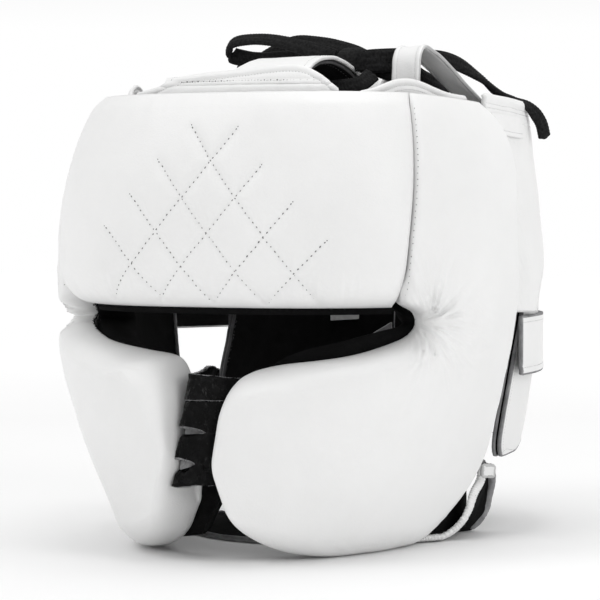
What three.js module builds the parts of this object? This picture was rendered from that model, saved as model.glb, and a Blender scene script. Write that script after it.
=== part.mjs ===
// Padded leather boxing headgear: full-face cheek pads, visor slot, laced crown, chin strap.
// Millimetres, +Z up, the face looks along -Y, +X is the wearer's left.
// Every wall lies on an egg-shaped reference around the vertical head axis. A place on it is
// given by psi (degrees from the front, positive to the wearer's left), z and a radius.
import * as THREE from 'three';

// ---------- driving sizes ----------
const AXIS_Y = 5.2;          // head axis, so that the box is centred on Y = 0
const MM_PER_DEG = 2.0;      // arc length of one degree on the middle of the pads
const GAP = 0.3;             // between neighbouring pieces
const PAD_GAP = 0.9;         // between pad and lining, whose facets differ
const TOP_Z = 206;           // upper edge of the pads
const STRAP_T = 3.5;         // chin strap thickness
const LACE_D = 5;            // round equivalent of the flat lace

// Outer face of the white pads at full thickness, a row for each height.
const OUTER = [
  { z: 0, half: 74, front: 132, back: 104, n: 2.2 },
  { z: 13, half: 79, front: 136, back: 106, n: 2.2 },
  { z: 28, half: 85, front: 139, back: 110, n: 2.3 },
  { z: 50, half: 92, front: 141, back: 116, n: 2.6 },
  { z: 75, half: 99, front: 141, back: 120, n: 2.9 },
  { z: 95, half: 103, front: 139.5, back: 121, n: 3 },
  { z: 112, half: 105.5, front: 133, back: 121, n: 3 },
  { z: 123, half: 106, front: 132.5, back: 121, n: 3 },
  { z: 166, half: 105, front: 130, back: 118, n: 3 },
  { z: 200, half: 102, front: 125, back: 114, n: 3 },
  { z: 230, half: 97, front: 118, back: 108, n: 3 },
];
// Face of the lining that touches the head.
const INNER = [
  { z: 0, half: 50, front: 100, back: 84, n: 2.3 },
  { z: 28, half: 59, front: 103, back: 88, n: 2.4 },
  { z: 50, half: 65, front: 103, back: 92, n: 2.5 },
  { z: 75, half: 71, front: 103, back: 96, n: 2.6 },
  { z: 100, half: 76, front: 104, back: 98, n: 2.6 },
  { z: 123, half: 78, front: 105, back: 98, n: 2.6 },
  { z: 166, half: 77.5, front: 104, back: 98, n: 2.6 },
  { z: 200, half: 75, front: 100, back: 95, n: 2.6 },
  { z: 230, half: 70, front: 94, back: 90, n: 2.6 },
];
// Outer face of the unpadded rear panels.
const REAR = [
  { z: 25, half: 83, front: 120, back: 114, n: 2.9 },
  { z: 50, half: 89, front: 120, back: 117, n: 3 },
  { z: 70, half: 92, front: 120, back: 119, n: 3 },
  { z: 107, half: 95, front: 120, back: 121, n: 3 },
  { z: 123, half: 95, front: 120, back: 121, n: 3 },
  { z: 150, half: 92, front: 120, back: 119, n: 3 },
  { z: 205, half: 86, front: 115, back: 113, n: 3 },
];

// ---------- small maths ----------
const clamp = (v, a, b) => Math.min(b, Math.max(a, v));
const ramp = (v, a, b) => { const t = clamp((v - a) / (b - a), 0, 1); return t * t * (3 - 2 * t); };
const mix = (a, b, t) => a + (b - a) * t;
const rad = (d) => d * Math.PI / 180;

function column(rows, z, key, at = 'z') {
  if (z <= rows[0][at]) return rows[0][key];
  for (let i = 1; i < rows.length; i++) {
    if (z <= rows[i][at]) return mix(rows[i - 1][key], rows[i][key], (z - rows[i - 1][at]) / (rows[i][at] - rows[i - 1][at]));
  }
  return rows[rows.length - 1][key];
}
function egg(rows, psi, z) {
  const a = column(rows, z, 'half');
  const b = column(rows, z, Math.abs(psi) < 90 ? 'front' : 'back');
  const n = column(rows, z, 'n');
  const s = Math.abs(Math.sin(rad(psi))) / a;
  const c = Math.abs(Math.cos(rad(psi))) / b;
  return (s ** n + c ** n) ** (-1 / n);
}
const outerR = (psi, z) => egg(OUTER, psi, z);
const innerR = (psi, z) => egg(INNER, psi, z);
const rearR = (psi, z) => egg(REAR, psi, z);
// Where white shell and black lining meet, as a share of the wall: the white leather
// wraps the whole end face at the mouth gap, and half of the wall elsewhere.
const share = (psi, z) => mix(mix(0.12, 0.5, ramp(Math.abs(psi), 8, 28)), 0.5, ramp(z, 92, 108));
const midR = (psi, z) => mix(innerR(psi, z), outerR(psi, z), share(psi, z));
const place = (psi, z, r) => new THREE.Vector3(r * Math.sin(rad(psi)), AXIS_Y - r * Math.cos(rad(psi)), Math.max(z, 0));

// Rows of a table joined by a smooth curve, each step cut in n.
function smoothRows(rows, n) {
  const keys = Object.keys(rows[0]);
  const out = [];
  for (let i = 0; i < rows.length - 1; i++) {
    const p = [rows[Math.max(i - 1, 0)], rows[i], rows[i + 1], rows[Math.min(i + 2, rows.length - 1)]];
    for (let k = 0; k < n; k++) {
      const t = k / n, row = {};
      for (const key of keys) {
        const [a, b, c, d] = p.map((q) => q[key]);
        row[key] = 0.5 * (2 * b + (c - a) * t + (2 * a - 5 * b + 4 * c - d) * t * t + (3 * b - a - 3 * c + d) * t ** 3);
      }
      out.push(row);
    }
  }
  out.push({ ...rows[rows.length - 1] });
  return out;
}

// ---------- closed bodies ----------
function solidFromGrids(top, bottom) {
  const nu = top.length, nv = top[0].length;
  const pos = [], idx = [];
  for (const g of [top, bottom]) for (const row of g) for (const p of row) pos.push(p.x, p.y, p.z);
  const T = (i, j) => i * nv + j, B = (i, j) => nu * nv + i * nv + j;
  const quad = (a, b, c, d) => idx.push(a, b, c, a, c, d);
  for (let i = 0; i < nu - 1; i++) for (let j = 0; j < nv - 1; j++) {
    quad(T(i, j), T(i + 1, j), T(i + 1, j + 1), T(i, j + 1));
    quad(B(i, j), B(i, j + 1), B(i + 1, j + 1), B(i + 1, j));
  }
  for (let i = 0; i < nu - 1; i++) {
    quad(T(i, 0), B(i, 0), B(i + 1, 0), T(i + 1, 0));
    quad(T(i + 1, nv - 1), B(i + 1, nv - 1), B(i, nv - 1), T(i, nv - 1));
  }
  for (let j = 0; j < nv - 1; j++) {
    quad(T(0, j + 1), B(0, j + 1), B(0, j), T(0, j));
    quad(T(nu - 1, j), B(nu - 1, j), B(nu - 1, j + 1), T(nu - 1, j + 1));
  }
  let vol = 0;
  const P = (i) => new THREE.Vector3(pos[3 * i], pos[3 * i + 1], pos[3 * i + 2]);
  for (let i = 0; i < idx.length; i += 3) vol += P(idx[i]).dot(P(idx[i + 1]).cross(P(idx[i + 2])));
  if (vol < 0) for (let i = 0; i < idx.length; i += 3) [idx[i + 1], idx[i + 2]] = [idx[i + 2], idx[i + 1]];
  const g = new THREE.BufferGeometry();
  g.setAttribute('position', new THREE.Float32BufferAttribute(pos, 3));
  g.setIndex(idx);
  g.computeVertexNormals();
  return g;
}

// Rounded rise of a padded edge: k of n steps up a quarter of a superellipse.
function roll(k, n, r, h0, power) {
  const a = (k / n) * Math.PI / 2;
  return { d: r * (1 - Math.cos(a) ** (2 / power)), h: h0 + (1 - h0) * Math.sin(a) ** (2 / power) };
}
// Pads thin out to their upper edge, over a longer way at the forehead than at the ears.
function topFade(psi, z) {
  const reach = mix(60, 34, ramp(Math.abs(psi), 48, 86));
  const s = clamp((z - (TOP_Z + 1 - reach)) / reach, 0, 1);
  return (1 - s ** 1.6) ** (1 / 1.6);
}

// A pad from a table of sections. Each section runs from (psiA, zA) to (psiB, zB); hA and
// hB are the heights that its two edges start from, rA and rB their rounding.
function padBody(rows, { steps, edge, middle, base, face, fade, ends, wall = 0.8, power = 2 }) {
  const sections = smoothRows(rows, steps);
  const mids = sections.map((s) => [(s.psiA + s.psiB) / 2 * MM_PER_DEG, (s.zA + s.zB) / 2]);
  const run = [0];
  for (let i = 1; i < mids.length; i++) run.push(run[i - 1] + Math.hypot(mids[i][0] - mids[i - 1][0], mids[i][1] - mids[i - 1][1]));
  const top = [], bottom = [];
  sections.forEach((s, i) => {
    const length = Math.hypot((s.psiB - s.psiA) * MM_PER_DEG, s.zB - s.zA);
    const ra = Math.min(s.rA, length * 0.42), rb = Math.min(s.rB, length * 0.42);
    const marks = [];
    for (let k = 0; k <= edge; k++) marks.push(roll(k, edge, ra, s.hA, power));
    for (let k = 1; k < middle; k++) marks.push({ d: mix(ra, length - rb, k / middle), h: 1 });
    for (let k = edge; k >= 0; k--) { const m = roll(k, edge, rb, s.hB, power); marks.push({ d: length - m.d, h: m.h }); }
    let end = 1;
    if (ends) {
      const at = [run[i], run[run.length - 1] - run[i]];
      ends.forEach((r, e) => { if (r) { const q = clamp(1 - at[e] / r, 0, 1); end *= Math.sqrt(1 - q * q); } });
    }
    top.push([]); bottom.push([]);
    for (const m of marks) {
      const t = m.d / length, psi = mix(s.psiA, s.psiB, t), z = mix(s.zA, s.zB, t);
      const b = base(psi, z), f = face(psi, z), h = m.h * end * (fade ? fade(psi, z) : 1);
      const up = (f - b) * h;
      top[i].push(place(psi, z, b + Math.sign(f - b) * Math.max(Math.abs(up), wall)));
      bottom[i].push(place(psi, z, b));
    }
  });
  return solidFromGrids(top, bottom);
}

// A thin leather panel on the reference: rows of (psiA, psiB) edges by height, or the
// other way round; off moves its outer face, thick is its thickness.
function panel(rows, { steps, across, face, thick, rise = 0 }) {
  const sections = smoothRows(rows, steps);
  const top = [], bottom = [];
  for (const s of sections) {
    const a = [], b = [];
    for (let k = 0; k <= across; k++) {
      const t = k / across, psi = mix(s.psiA, s.psiB, t), z = mix(s.zA, s.zB, t);
      const r = face(psi, z) + rise;
      a.push(place(psi, z, r)); b.push(place(psi, z, r - thick));
    }
    top.push(a); bottom.push(b);
  }
  return solidFromGrids(top, bottom);
}

// A flat strap along points {x, y, z} measured from the head axis, its width along side, cut square.
function strap(points, width, thick, side, steps = 2) {
  const line = smoothRows(points, steps).map((p) => new THREE.Vector3(p.x, p.y + AXIS_Y, Math.max(p.z, thick / 2)));
  const top = [], bottom = [];
  line.forEach((p, i) => {
    const dir = line[Math.min(i + 1, line.length - 1)].clone().sub(line[Math.max(i - 1, 0)]).normalize();
    const w = (typeof side === 'function' ? side(p, dir) : side).clone();
    w.sub(dir.clone().multiplyScalar(w.dot(dir))).normalize();
    const up = w.clone().cross(dir).normalize();
    const half = (typeof width === 'function' ? width(i / (line.length - 1)) : width) / 2;
    const at = (a, b) => { const q = p.clone().addScaledVector(w, a).addScaledVector(up, b); q.z = Math.max(q.z, 0); return q; };
    top.push([at(-half, thick / 2), at(half, thick / 2)]);
    bottom.push([at(-half, -thick / 2), at(half, -thick / 2)]);
  });
  return solidFromGrids(top, bottom);
}

function lace(points, steps, d = LACE_D, sides = 8) {
  const ring = new THREE.Shape();
  for (let k = 0; k < sides; k++) {
    const a = (k / sides) * 2 * Math.PI;
    if (k) ring.lineTo(Math.cos(a) * d / 2, Math.sin(a) * d / 2); else ring.moveTo(d / 2, 0);
  }
  const path = new THREE.CatmullRomCurve3(points.map((p) => new THREE.Vector3(p.x, p.y + AXIS_Y, p.z)), false, 'centripetal');
  return new THREE.ExtrudeGeometry(ring, { steps, extrudePath: path, bevelEnabled: false });
}

// ---------- materials ----------
const whiteLeather = new THREE.MeshStandardMaterial({ color: 0xf2f2f0, roughness: 0.45, metalness: 0 });
const blackSuede = new THREE.MeshStandardMaterial({ color: 0x17171a, roughness: 0.95, metalness: 0 });
const patent = new THREE.MeshStandardMaterial({ color: 0x1a1a1c, roughness: 0.22, metalness: 0 });
const rawSuede = new THREE.MeshStandardMaterial({ color: 0x77787a, roughness: 0.95, metalness: 0 });
const laceCloth = new THREE.MeshStandardMaterial({ color: 0x101011, roughness: 0.8, metalness: 0 });

const headgear = new THREE.Group();
headgear.name = 'headgear';
function add(name, geometry, material) {
  const mesh = new THREE.Mesh(geometry, material);
  mesh.name = name;
  headgear.add(mesh);
}
const mirrorRows = (rows) => rows.map((r) => ({ ...r, psiA: -r.psiA, psiB: -r.psiB }));
const mirrorX = (rows) => rows.map((r) => ({ ...r, x: -r.x }));

// ---------- forehead ----------
// psi of the seam to the side pads: columns for the slot edge (A) and the top (B).
const SEAM = { low: 40.6, high: 46.5 };
const foreheadRows = [-1, -0.8, -0.6, -0.4, -0.2, 0, 0.2, 0.4, 0.6, 0.8, 1].map((f) => ({
  psiA: f * SEAM.low, zA: 109, psiB: f * SEAM.high, zB: TOP_Z, hA: 0, hB: 0, rA: 13, rB: 6,
}));
add('forehead_pad', padBody(foreheadRows, {
  steps: 2, edge: 3, middle: 6, base: (p, z) => midR(p, z) + PAD_GAP, face: outerR, fade: topFade,
}), whiteLeather);
const foreheadLiningRows = [-1, -0.6, -0.2, 0.2, 0.6, 1].map((f) => ({
  psiA: f * 41.6, zA: 107, psiB: f * 41.6, zB: 202, hA: 0.1, hB: 0.1, rA: 9, rB: 10,
}));
add('forehead_lining', padBody(foreheadLiningRows, {
  steps: 2, edge: 2, middle: 4, base: midR, face: innerR,
}), blackSuede);

// ---------- side and cheek pads ----------
// A is the edge at the seam, round the slot's end, along the slot and down the mouth gap;
// B is the edge along the ear, round the jaw and along the bottom.
const sideRows = [
  { psiA: 46.9, zA: 206, psiB: 80, zB: 203, hA: 0.92, hB: 0, rA: 6, rB: 12 },
  { psiA: 45.9, zA: 190, psiB: 88.5, zB: 191, hA: 0.92, hB: 0, rA: 6, rB: 12 },
  { psiA: 44.7, zA: 170, psiB: 90.5, zB: 172, hA: 0.92, hB: 0, rA: 6, rB: 12 },
  { psiA: 43.5, zA: 150, psiB: 91.5, zB: 150, hA: 0.92, hB: 0, rA: 6, rB: 12 },
  { psiA: 42.3, zA: 130, psiB: 92, zB: 128, hA: 0.9, hB: 0, rA: 6, rB: 12 },
  { psiA: 41.5, zA: 114, psiB: 92, zB: 108, hA: 0.6, hB: 0, rA: 8, rB: 12 },
  { psiA: 47.3, zA: 107.5, psiB: 92, zB: 90, hA: 0, hB: 0, rA: 12, rB: 12 },
  { psiA: 48.8, zA: 102, psiB: 92, zB: 74, hA: 0, hB: 0, rA: 13, rB: 12 },
  { psiA: 46, zA: 97.4, psiB: 92.5, zB: 58, hA: 0, hB: 0, rA: 13, rB: 12 },
  { psiA: 40, zA: 95, psiB: 92.5, zB: 44, hA: 0, hB: 0, rA: 14, rB: 12 },
  { psiA: 32, zA: 91, psiB: 91, zB: 31, hA: 0, hB: 0, rA: 15, rB: 13 },
  { psiA: 24, zA: 88.5, psiB: 82, zB: 15, hA: 0, hB: 0, rA: 16, rB: 14 },
  { psiA: 18, zA: 86.5, psiB: 67, zB: 2, hA: 0, hB: 0, rA: 17, rB: 16 },
  { psiA: 13, zA: 83, psiB: 51, zB: 0, hA: 0, hB: 0, rA: 17, rB: 18 },
  { psiA: 9, zA: 76, psiB: 38, zB: 0, hA: 0, hB: 0, rA: 16, rB: 19 },
  { psiA: 6.8, zA: 66, psiB: 26, zB: 0.8, hA: 0, hB: 0, rA: 14, rB: 18 },
  { psiA: 5.4, zA: 55, psiB: 15.5, zB: 5.5, hA: 0, hB: 0, rA: 12, rB: 16 },
  { psiA: 4.8, zA: 46, psiB: 9, zB: 14, hA: 0, hB: 0, rA: 10, rB: 12 },
  { psiA: 4.6, zA: 40, psiB: 5.6, zB: 25, hA: 0, hB: 0, rA: 6, rB: 6 },
];
const padSettings = {
  steps: 2, edge: 3, middle: 5, base: (p, z) => midR(p, z) + PAD_GAP, face: outerR, fade: topFade, ends: [0, 7],
};
add('side_pad_left', padBody(sideRows, padSettings), whiteLeather);
add('side_pad_right', padBody(mirrorRows(sideRows), padSettings), whiteLeather);
const sideLiningRows = [
  { psiA: 42.2, zA: 202, psiB: 86, zB: 199, hA: 0.6, hB: 0.1, rA: 6, rB: 9 },
  { psiA: 42.2, zA: 160, psiB: 90, zB: 160, hA: 0.9, hB: 0.1, rA: 6, rB: 9 },
  { psiA: 42.2, zA: 118, psiB: 91, zB: 118, hA: 0.9, hB: 0.1, rA: 6, rB: 9 },
  { psiA: 44.5, zA: 106.5, psiB: 91, zB: 96, hA: 0.1, hB: 0.1, rA: 8, rB: 9 },
  { psiA: 46.5, zA: 103, psiB: 91, zB: 80, hA: 0.1, hB: 0.1, rA: 8, rB: 9 },
  { psiA: 44, zA: 101, psiB: 91, zB: 62, hA: 0.1, hB: 0.1, rA: 8, rB: 9 },
  { psiA: 38, zA: 99, psiB: 90, zB: 47, hA: 0.1, hB: 0.1, rA: 8, rB: 9 },
  { psiA: 30, zA: 95.5, psiB: 86, zB: 35, hA: 0.1, hB: 0.1, rA: 8, rB: 9 },
  { psiA: 21, zA: 91, psiB: 74, zB: 19, hA: 0.1, hB: 0.1, rA: 8, rB: 9 },
  { psiA: 14, zA: 84, psiB: 58, zB: 9, hA: 0.1, hB: 0.1, rA: 8, rB: 9 },
  { psiA: 10, zA: 72, psiB: 40, zB: 6, hA: 0.1, hB: 0.1, rA: 8, rB: 9 },
  { psiA: 8.6, zA: 58, psiB: 24, zB: 8, hA: 0.1, hB: 0.1, rA: 8, rB: 9 },
  { psiA: 8.4, zA: 44, psiB: 13, zB: 19, hA: 0.1, hB: 0.1, rA: 6, rB: 6 },
];
// The lining is never thinner than 6 mm.
const liningFace = (psi, z) => Math.min(innerR(psi, z), midR(psi, z) - 6);
const liningSettings = { steps: 2, edge: 2, middle: 4, base: midR, face: liningFace };
add('side_lining_left', padBody(sideLiningRows, liningSettings), blackSuede);
add('side_lining_right', padBody(mirrorRows(sideLiningRows), liningSettings), blackSuede);

// ---------- rim ----------
// Unpadded hem that stands on the upper edge of the pads; zB is its top line.
const rimFace = (psi, z) => mix(innerR(psi, z) + 6, innerR(psi, z) + 3, ramp(z, 205, 222));
const frontTabRows = [
  { psiA: -30, psiB: -30, zA: 203, zB: 206.5 },
  { psiA: -22, psiB: -22, zA: 203, zB: 208 },
  { psiA: -12, psiB: -12, zA: 203, zB: 213 },
  { psiA: 5, psiB: 5, zA: 203, zB: 215.6 },
  { psiA: 18, psiB: 18, zA: 203, zB: 217.5 },
  { psiA: 24, psiB: 24, zA: 203, zB: 214 },
  { psiA: 29, psiB: 29, zA: 203, zB: 207 },
];
add('front_tab', panel(frontTabRows, { steps: 2, across: 2, face: rimFace, thick: 2.4 }), whiteLeather);
const sideHemRows = [
  { psiA: 36, psiB: 36, zA: 203, zB: 207.5 },
  { psiA: 44, psiB: 44, zA: 203, zB: 211.5 },
  { psiA: 52, psiB: 52, zA: 203, zB: 212 },
  { psiA: 62, psiB: 62, zA: 202.5, zB: 208.5 },
  { psiA: 72, psiB: 72, zA: 201.5, zB: 206.5 },
  { psiA: 84, psiB: 84, zA: 201.5, zB: 206 },
];
add('side_hem_left', panel(sideHemRows, { steps: 2, across: 2, face: rimFace, thick: 2.4 }), whiteLeather);
add('side_hem_right', panel(mirrorRows(sideHemRows), { steps: 2, across: 2, face: rimFace, thick: 2.4 }), whiteLeather);

// ---------- ear gussets and rear panels ----------
// Wrinkled leather between the side pad and the rear panel; its lower edge is the top of the ear notch.
const gussetRows = (low, back) => [
  { psiA: 92.4, psiB: back, zA: low, zB: low - 1.5 },
  { psiA: 92.4, psiB: Math.min(back + 5, 126), zA: low + 12, zB: low + 11.5 },
  { psiA: 92.2, psiB: 128, zA: 132, zB: 132 },
  { psiA: 91.8, psiB: 134, zA: 155, zB: 155 },
  { psiA: 90.8, psiB: 136, zA: 178, zB: 178 },
  { psiA: 89, psiB: 136, zA: 196, zB: 194 },
];
const gussetFace = (psi, z) => mix(midR(90, z) + 1.5, rearR(psi, z) + 3.8, ramp(Math.abs(psi), 92, 107));
const gussetSize = { steps: 1, across: 6, face: gussetFace, thick: 2.6 };
add('ear_gusset_left', panel(gussetRows(106, 114), gussetSize), whiteLeather);
add('ear_gusset_right', panel(mirrorRows(gussetRows(94, 124)), gussetSize), whiteLeather);
// Hem along the upper edge behind the ears, doubled and stitched.
const rearHemRows = [87, 105, 120, 135, 150, 163, 176].map((psi) => ({
  psiA: psi, psiB: psi, zA: mix(197.5, 195.5, ramp(psi, 87, 122)), zB: mix(207, 205, ramp(psi, 87, 122)),
}));
const rearHemFace = (psi, z) => mix(midR(90, z) + 1.5, rearR(psi, z) + 4 + 5.5 * ramp(Math.abs(psi), 146, 160), ramp(Math.abs(psi), 88, 107));
add('rear_hem_left', panel(rearHemRows, { steps: 2, across: 2, face: rearHemFace, thick: 3 }), whiteLeather);
add('rear_hem_right', panel(mirrorRows(rearHemRows), { steps: 2, across: 2, face: rearHemFace, thick: 3 }), whiteLeather);

// Rear panels, white outside and black suede inside; psiA is the edge at the ear notch.
const PANEL_T = 2.6, SUEDE_T = 2.2;
const rearPanelLeftRows = [
  { psiA: 109, psiB: 124, zA: 36.5, zB: 37 },
  { psiA: 105.5, psiB: 140, zA: 41, zB: 42 },
  { psiA: 103.5, psiB: 165, zA: 48, zB: 50 },
  { psiA: 103, psiB: 178, zA: 58, zB: 60 },
  { psiA: 104.6, psiB: 184, zA: 72, zB: 74 },
  { psiA: 107.5, psiB: 184, zA: 90, zB: 90 },
  { psiA: 110, psiB: 184, zA: 108, zB: 108 },
  { psiA: 110.5, psiB: 184, zA: 130, zB: 130 },
  { psiA: 110.5, psiB: 184, zA: 160, zB: 160 },
  { psiA: 110.5, psiB: 184, zA: 194, zB: 202 },
];
// The right panel is drawn further back and inwards; its end, cut on a slant below, lies outside the left one.
const rearPanelRightRows = [
  { psiA: -128, psiB: -136, zA: 37, zB: 38 },
  { psiA: -124, psiB: -148, zA: 42, zB: 44 },
  { psiA: -122, psiB: -154, zA: 50, zB: 52 },
  { psiA: -122, psiB: -158, zA: 60, zB: 62 },
  { psiA: -123, psiB: -165, zA: 75, zB: 75 },
  { psiA: -124, psiB: -178, zA: 90, zB: 90 },
  { psiA: -122, psiB: -184, zA: 108, zB: 106 },
  { psiA: -116, psiB: -185, zA: 130, zB: 130 },
  { psiA: -112, psiB: -185, zA: 160, zB: 160 },
  { psiA: -111, psiB: -185, zA: 194, zB: 203 },
];
const LAP = 6;               // step of the outer panel over the inner one
const pulled = (psi, z) => rearR(psi, z) - 7 * (1 - ramp(-psi, 134, 160)) * (1 - ramp(z, 110, 150)) + LAP * ramp(-psi, 150, 169);
add('rear_panel_left', panel(rearPanelLeftRows, { steps: 1, across: 8, face: rearR, thick: PANEL_T }), whiteLeather);
add('rear_suede_left', panel(rearPanelLeftRows, { steps: 1, across: 8, face: rearR, thick: SUEDE_T, rise: -PANEL_T - GAP }), blackSuede);
add('rear_panel_right', panel(rearPanelRightRows, { steps: 1, across: 8, face: pulled, thick: PANEL_T }), whiteLeather);
add('rear_suede_right', panel(rearPanelRightRows, { steps: 1, across: 8, face: pulled, thick: SUEDE_T, rise: -PANEL_T - GAP }), blackSuede);

// Rear closing strap in two halves, each folded round its panel's edge at the ear notch.
const STRAP_Z = { low: 70, high: 101.5 };
function rearStrap(inside, outside, thick) {
  const rows = [...inside, ...outside];
  const top = [], bottom = [];
  rows.forEach((r, i) => {
    const a = rows[Math.max(i - 1, 0)], b = rows[Math.min(i + 1, rows.length - 1)];
    const P = (q) => place(q.psi, 0, q.r);
    const dir = P(b).sub(P(a)).normalize();
    const side = new THREE.Vector3(dir.y, -dir.x, 0).multiplyScalar(thick / 2);
    const p = P(r);
    const at = (s, z) => new THREE.Vector3(p.x + s * side.x, p.y + s * side.y, z);
    top.push([at(1, STRAP_Z.low), at(1, STRAP_Z.high)]);
    bottom.push([at(-1, STRAP_Z.low), at(-1, STRAP_Z.high)]);
  });
  return solidFromGrids(top, bottom);
}
const STRAP_MID = 86;
const strapThick = 2.2;
const leftIn = [122, 117, 112, 107].map((psi) => ({ psi, r: rearR(psi, STRAP_MID) - 9.8 }));
const leftTurn = [{ psi: 103, r: rearR(104, STRAP_MID) - 7.4 }, { psi: 101.3, r: rearR(103, STRAP_MID) - 2.6 }, { psi: 103, r: rearR(104, STRAP_MID) + 1.9 }];
const leftOut = [107, 114, 120, 128, 136, 144, 152, 160, 168, 176, 184, 192, 200, 207, 214].map((psi) => ({
  psi, r: rearR(psi, STRAP_MID) + 3 + 5.2 * ramp(psi, 158, 170) - 4 * ramp(psi, 202, 215),
}));
add('rear_strap_left', rearStrap(leftIn, [...leftTurn, ...leftOut], strapThick), whiteLeather);
const rightFace = (psi) => pulled(-psi, STRAP_MID);
const rightIn = [140, 135, 130, 127].map((psi) => ({ psi: -psi, r: rightFace(psi) - 11 }));
const rightTurn = [{ psi: -120.9, r: rightFace(121) - 7.4 }, { psi: -118.9, r: rightFace(120) - 2 }, { psi: -120.8, r: rightFace(121) + 2 }];
const rightOut = [125.5, 132, 139, 146, 152].map((psi) => ({ psi: -psi, r: rightFace(psi) + 3.5 }));
add('rear_strap_right', rearStrap(rightIn, [...rightTurn, ...rightOut], strapThick), whiteLeather);

// ---------- crown flap and loops ----------
const X = new THREE.Vector3(1, 0, 0), Y = new THREE.Vector3(0, 1, 0);
const flapLine = [
  { x: 0, y: -93.5, z: 208 }, { x: 0, y: -88, z: 217 }, { x: 0, y: -76, z: 222.5 }, { x: 0, y: -61, z: 224.5 },
  { x: 0, y: -42, z: 223 }, { x: 0, y: -25, z: 218.5 }, { x: 0, y: -16, z: 214 },
];
add('crown_flap', strap(flapLine, (t) => mix(70, 62, t), 2, X), whiteLeather);
const under = flapLine.map((p, i) => ({ x: 0, y: p.y + (i < 2 ? 2.0 : i === 2 ? 1 : i > 4 ? -1 : 0), z: p.z - (i < 1 ? 0.5 : 2.1) }));
add('crown_flap_lining', strap(under, (t) => mix(66, 59, t), 1.4, X), blackSuede);

// Strap loops that hold the lace. The side ones are arches along the rim, steep in front, each with its
// foot inside the rim; the right one is pressed down. The back one lies in a radial plane.
const archLine = [
  { x: 60, y: -34, z: 199 }, { x: 60, y: -33.5, z: 206 }, { x: 59.6, y: -32, z: 216 }, { x: 58.8, y: -28.5, z: 225 }, { x: 58.6, y: -22, z: 229.3 },
  { x: 61, y: -13, z: 227 }, { x: 65, y: -4, z: 220.5 }, { x: 69.5, y: 4.5, z: 213 }, { x: 73.5, y: 11, z: 207 }, { x: 77, y: 15.5, z: 203 },
];
const LOOP_W = 13, LOOP_T = 1.8;
function arch(press, mirror) {
  const pts = archLine.map((p) => ({ x: mirror * p.x, y: p.y, z: mix(199, p.z, press) }));
  const side = (p) => new THREE.Vector3(mirror, -0.1 * mirror, -0.3 * ramp(p.y, -25, 20));
  return strap(pts, LOOP_W, LOOP_T, side);
}
add('loop_left', arch(1, 1), whiteLeather);
add('loop_right', arch(0.5, -1), whiteLeather);
const backLoopLine = [
  { y: 103.5, z: 202 }, { y: 98, z: 206 }, { y: 87, z: 212.5 }, { y: 75, z: 219 }, { y: 68, z: 220.5 }, { y: 63, z: 217 },
  { y: 62, z: 209 }, { y: 65, z: 202 }, { y: 74, z: 198 }, { y: 89, z: 196.5 }, { y: 103.5, z: 196 },
].map((p) => ({ x: 0, ...p }));
add('loop_back', strap(backLoopLine, 12, LOOP_T, X), whiteLeather);

// ---------- mouth bridge ----------
// Glossy strap across the mouth gap: along the far cheek's end face, folded at its front, on to the near cheek.
const bridgeLine = [
  { x: -6.4, y: -96 }, { x: -6.6, y: -104 }, { x: -6.8, y: -111 }, { x: -6.9, y: -117 }, { x: -5.6, y: -120.2 },
  { x: -3.2, y: -120.6 }, { x: 0, y: -119 }, { x: 3.4, y: -117.2 }, { x: 5.6, y: -115 }, { x: 6.4, y: -110 }, { x: 6.4, y: -102 }, { x: 6, y: -92 },
];
const BRIDGE = { low: 33, high: 86, lean: 0.16 };
function bridgeBody() {
  const top = [], bottom = [];
  bridgeLine.forEach((q, i) => {
    const a = bridgeLine[Math.max(i - 1, 0)], b = bridgeLine[Math.min(i + 1, bridgeLine.length - 1)];
    const d = new THREE.Vector2(b.x - a.x, b.y - a.y).normalize();
    const up = [], down = [];
    for (let k = 0; k <= 4; k++) {
      const z = mix(BRIDGE.low, BRIDGE.high, k / 4);
      const y = q.y + AXIS_Y - BRIDGE.lean * (BRIDGE.high - z) * ramp(-q.y, 92, 114);
      up.push(new THREE.Vector3(q.x - d.y * 0.9, y + d.x * 0.9, z));
      down.push(new THREE.Vector3(q.x + d.y * 0.9, y - d.x * 0.9, z));
    }
    top.push(up); bottom.push(down);
  });
  return solidFromGrids(top, bottom);
}
add('mouth_bridge', bridgeBody(), patent);

// ---------- chin strap ----------
// One band from jaw corner to jaw corner, bowed forward under the chin and flat where the headgear stands on it.
const chinHalf = [
  { x: 77, y: 24, z: 33 }, { x: 79, y: 21, z: 24 }, { x: 77, y: 16, z: 13 }, { x: 70.5, y: 9, z: 5 }, { x: 60, y: 0, z: STRAP_T / 2 }, { x: 44, y: -19, z: STRAP_T / 2 },
  { x: 23, y: -36, z: STRAP_T / 2 },
];
const chinLine = [...chinHalf, { x: 0, y: -42, z: STRAP_T / 2 }, ...mirrorX(chinHalf).reverse()];
add('chin_strap', strap(chinLine, 36, STRAP_T, Y), rawSuede);
// White ruffled binding on the strap's front edge and the small folded tab at each jaw corner.
const tabRows = [
  { x: 85.4, y: 6.5, z: 38 }, { x: 88, y: 11, z: 37 }, { x: 90, y: 16, z: 36.4 },
];
add('jaw_tab_left', strap(tabRows, 5, 2.4, new THREE.Vector3(0, 0, 1)), whiteLeather);
add('jaw_tab_right', strap(mirrorX(tabRows), 5, 2.4, new THREE.Vector3(0, 0, 1)), whiteLeather);

// ---------- inside label ----------
const labelRows = [-167.5, -163, -158.5].map((psi) => ({ psiA: psi, psiB: psi, zA: 96, zB: 106 }));
add('label', panel(labelRows, { steps: 1, across: 1, face: (p, z) => pulled(p, z) - PANEL_T - SUEDE_T - 2 * GAP - 1.8, thick: 0.8 }), whiteLeather);

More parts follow.
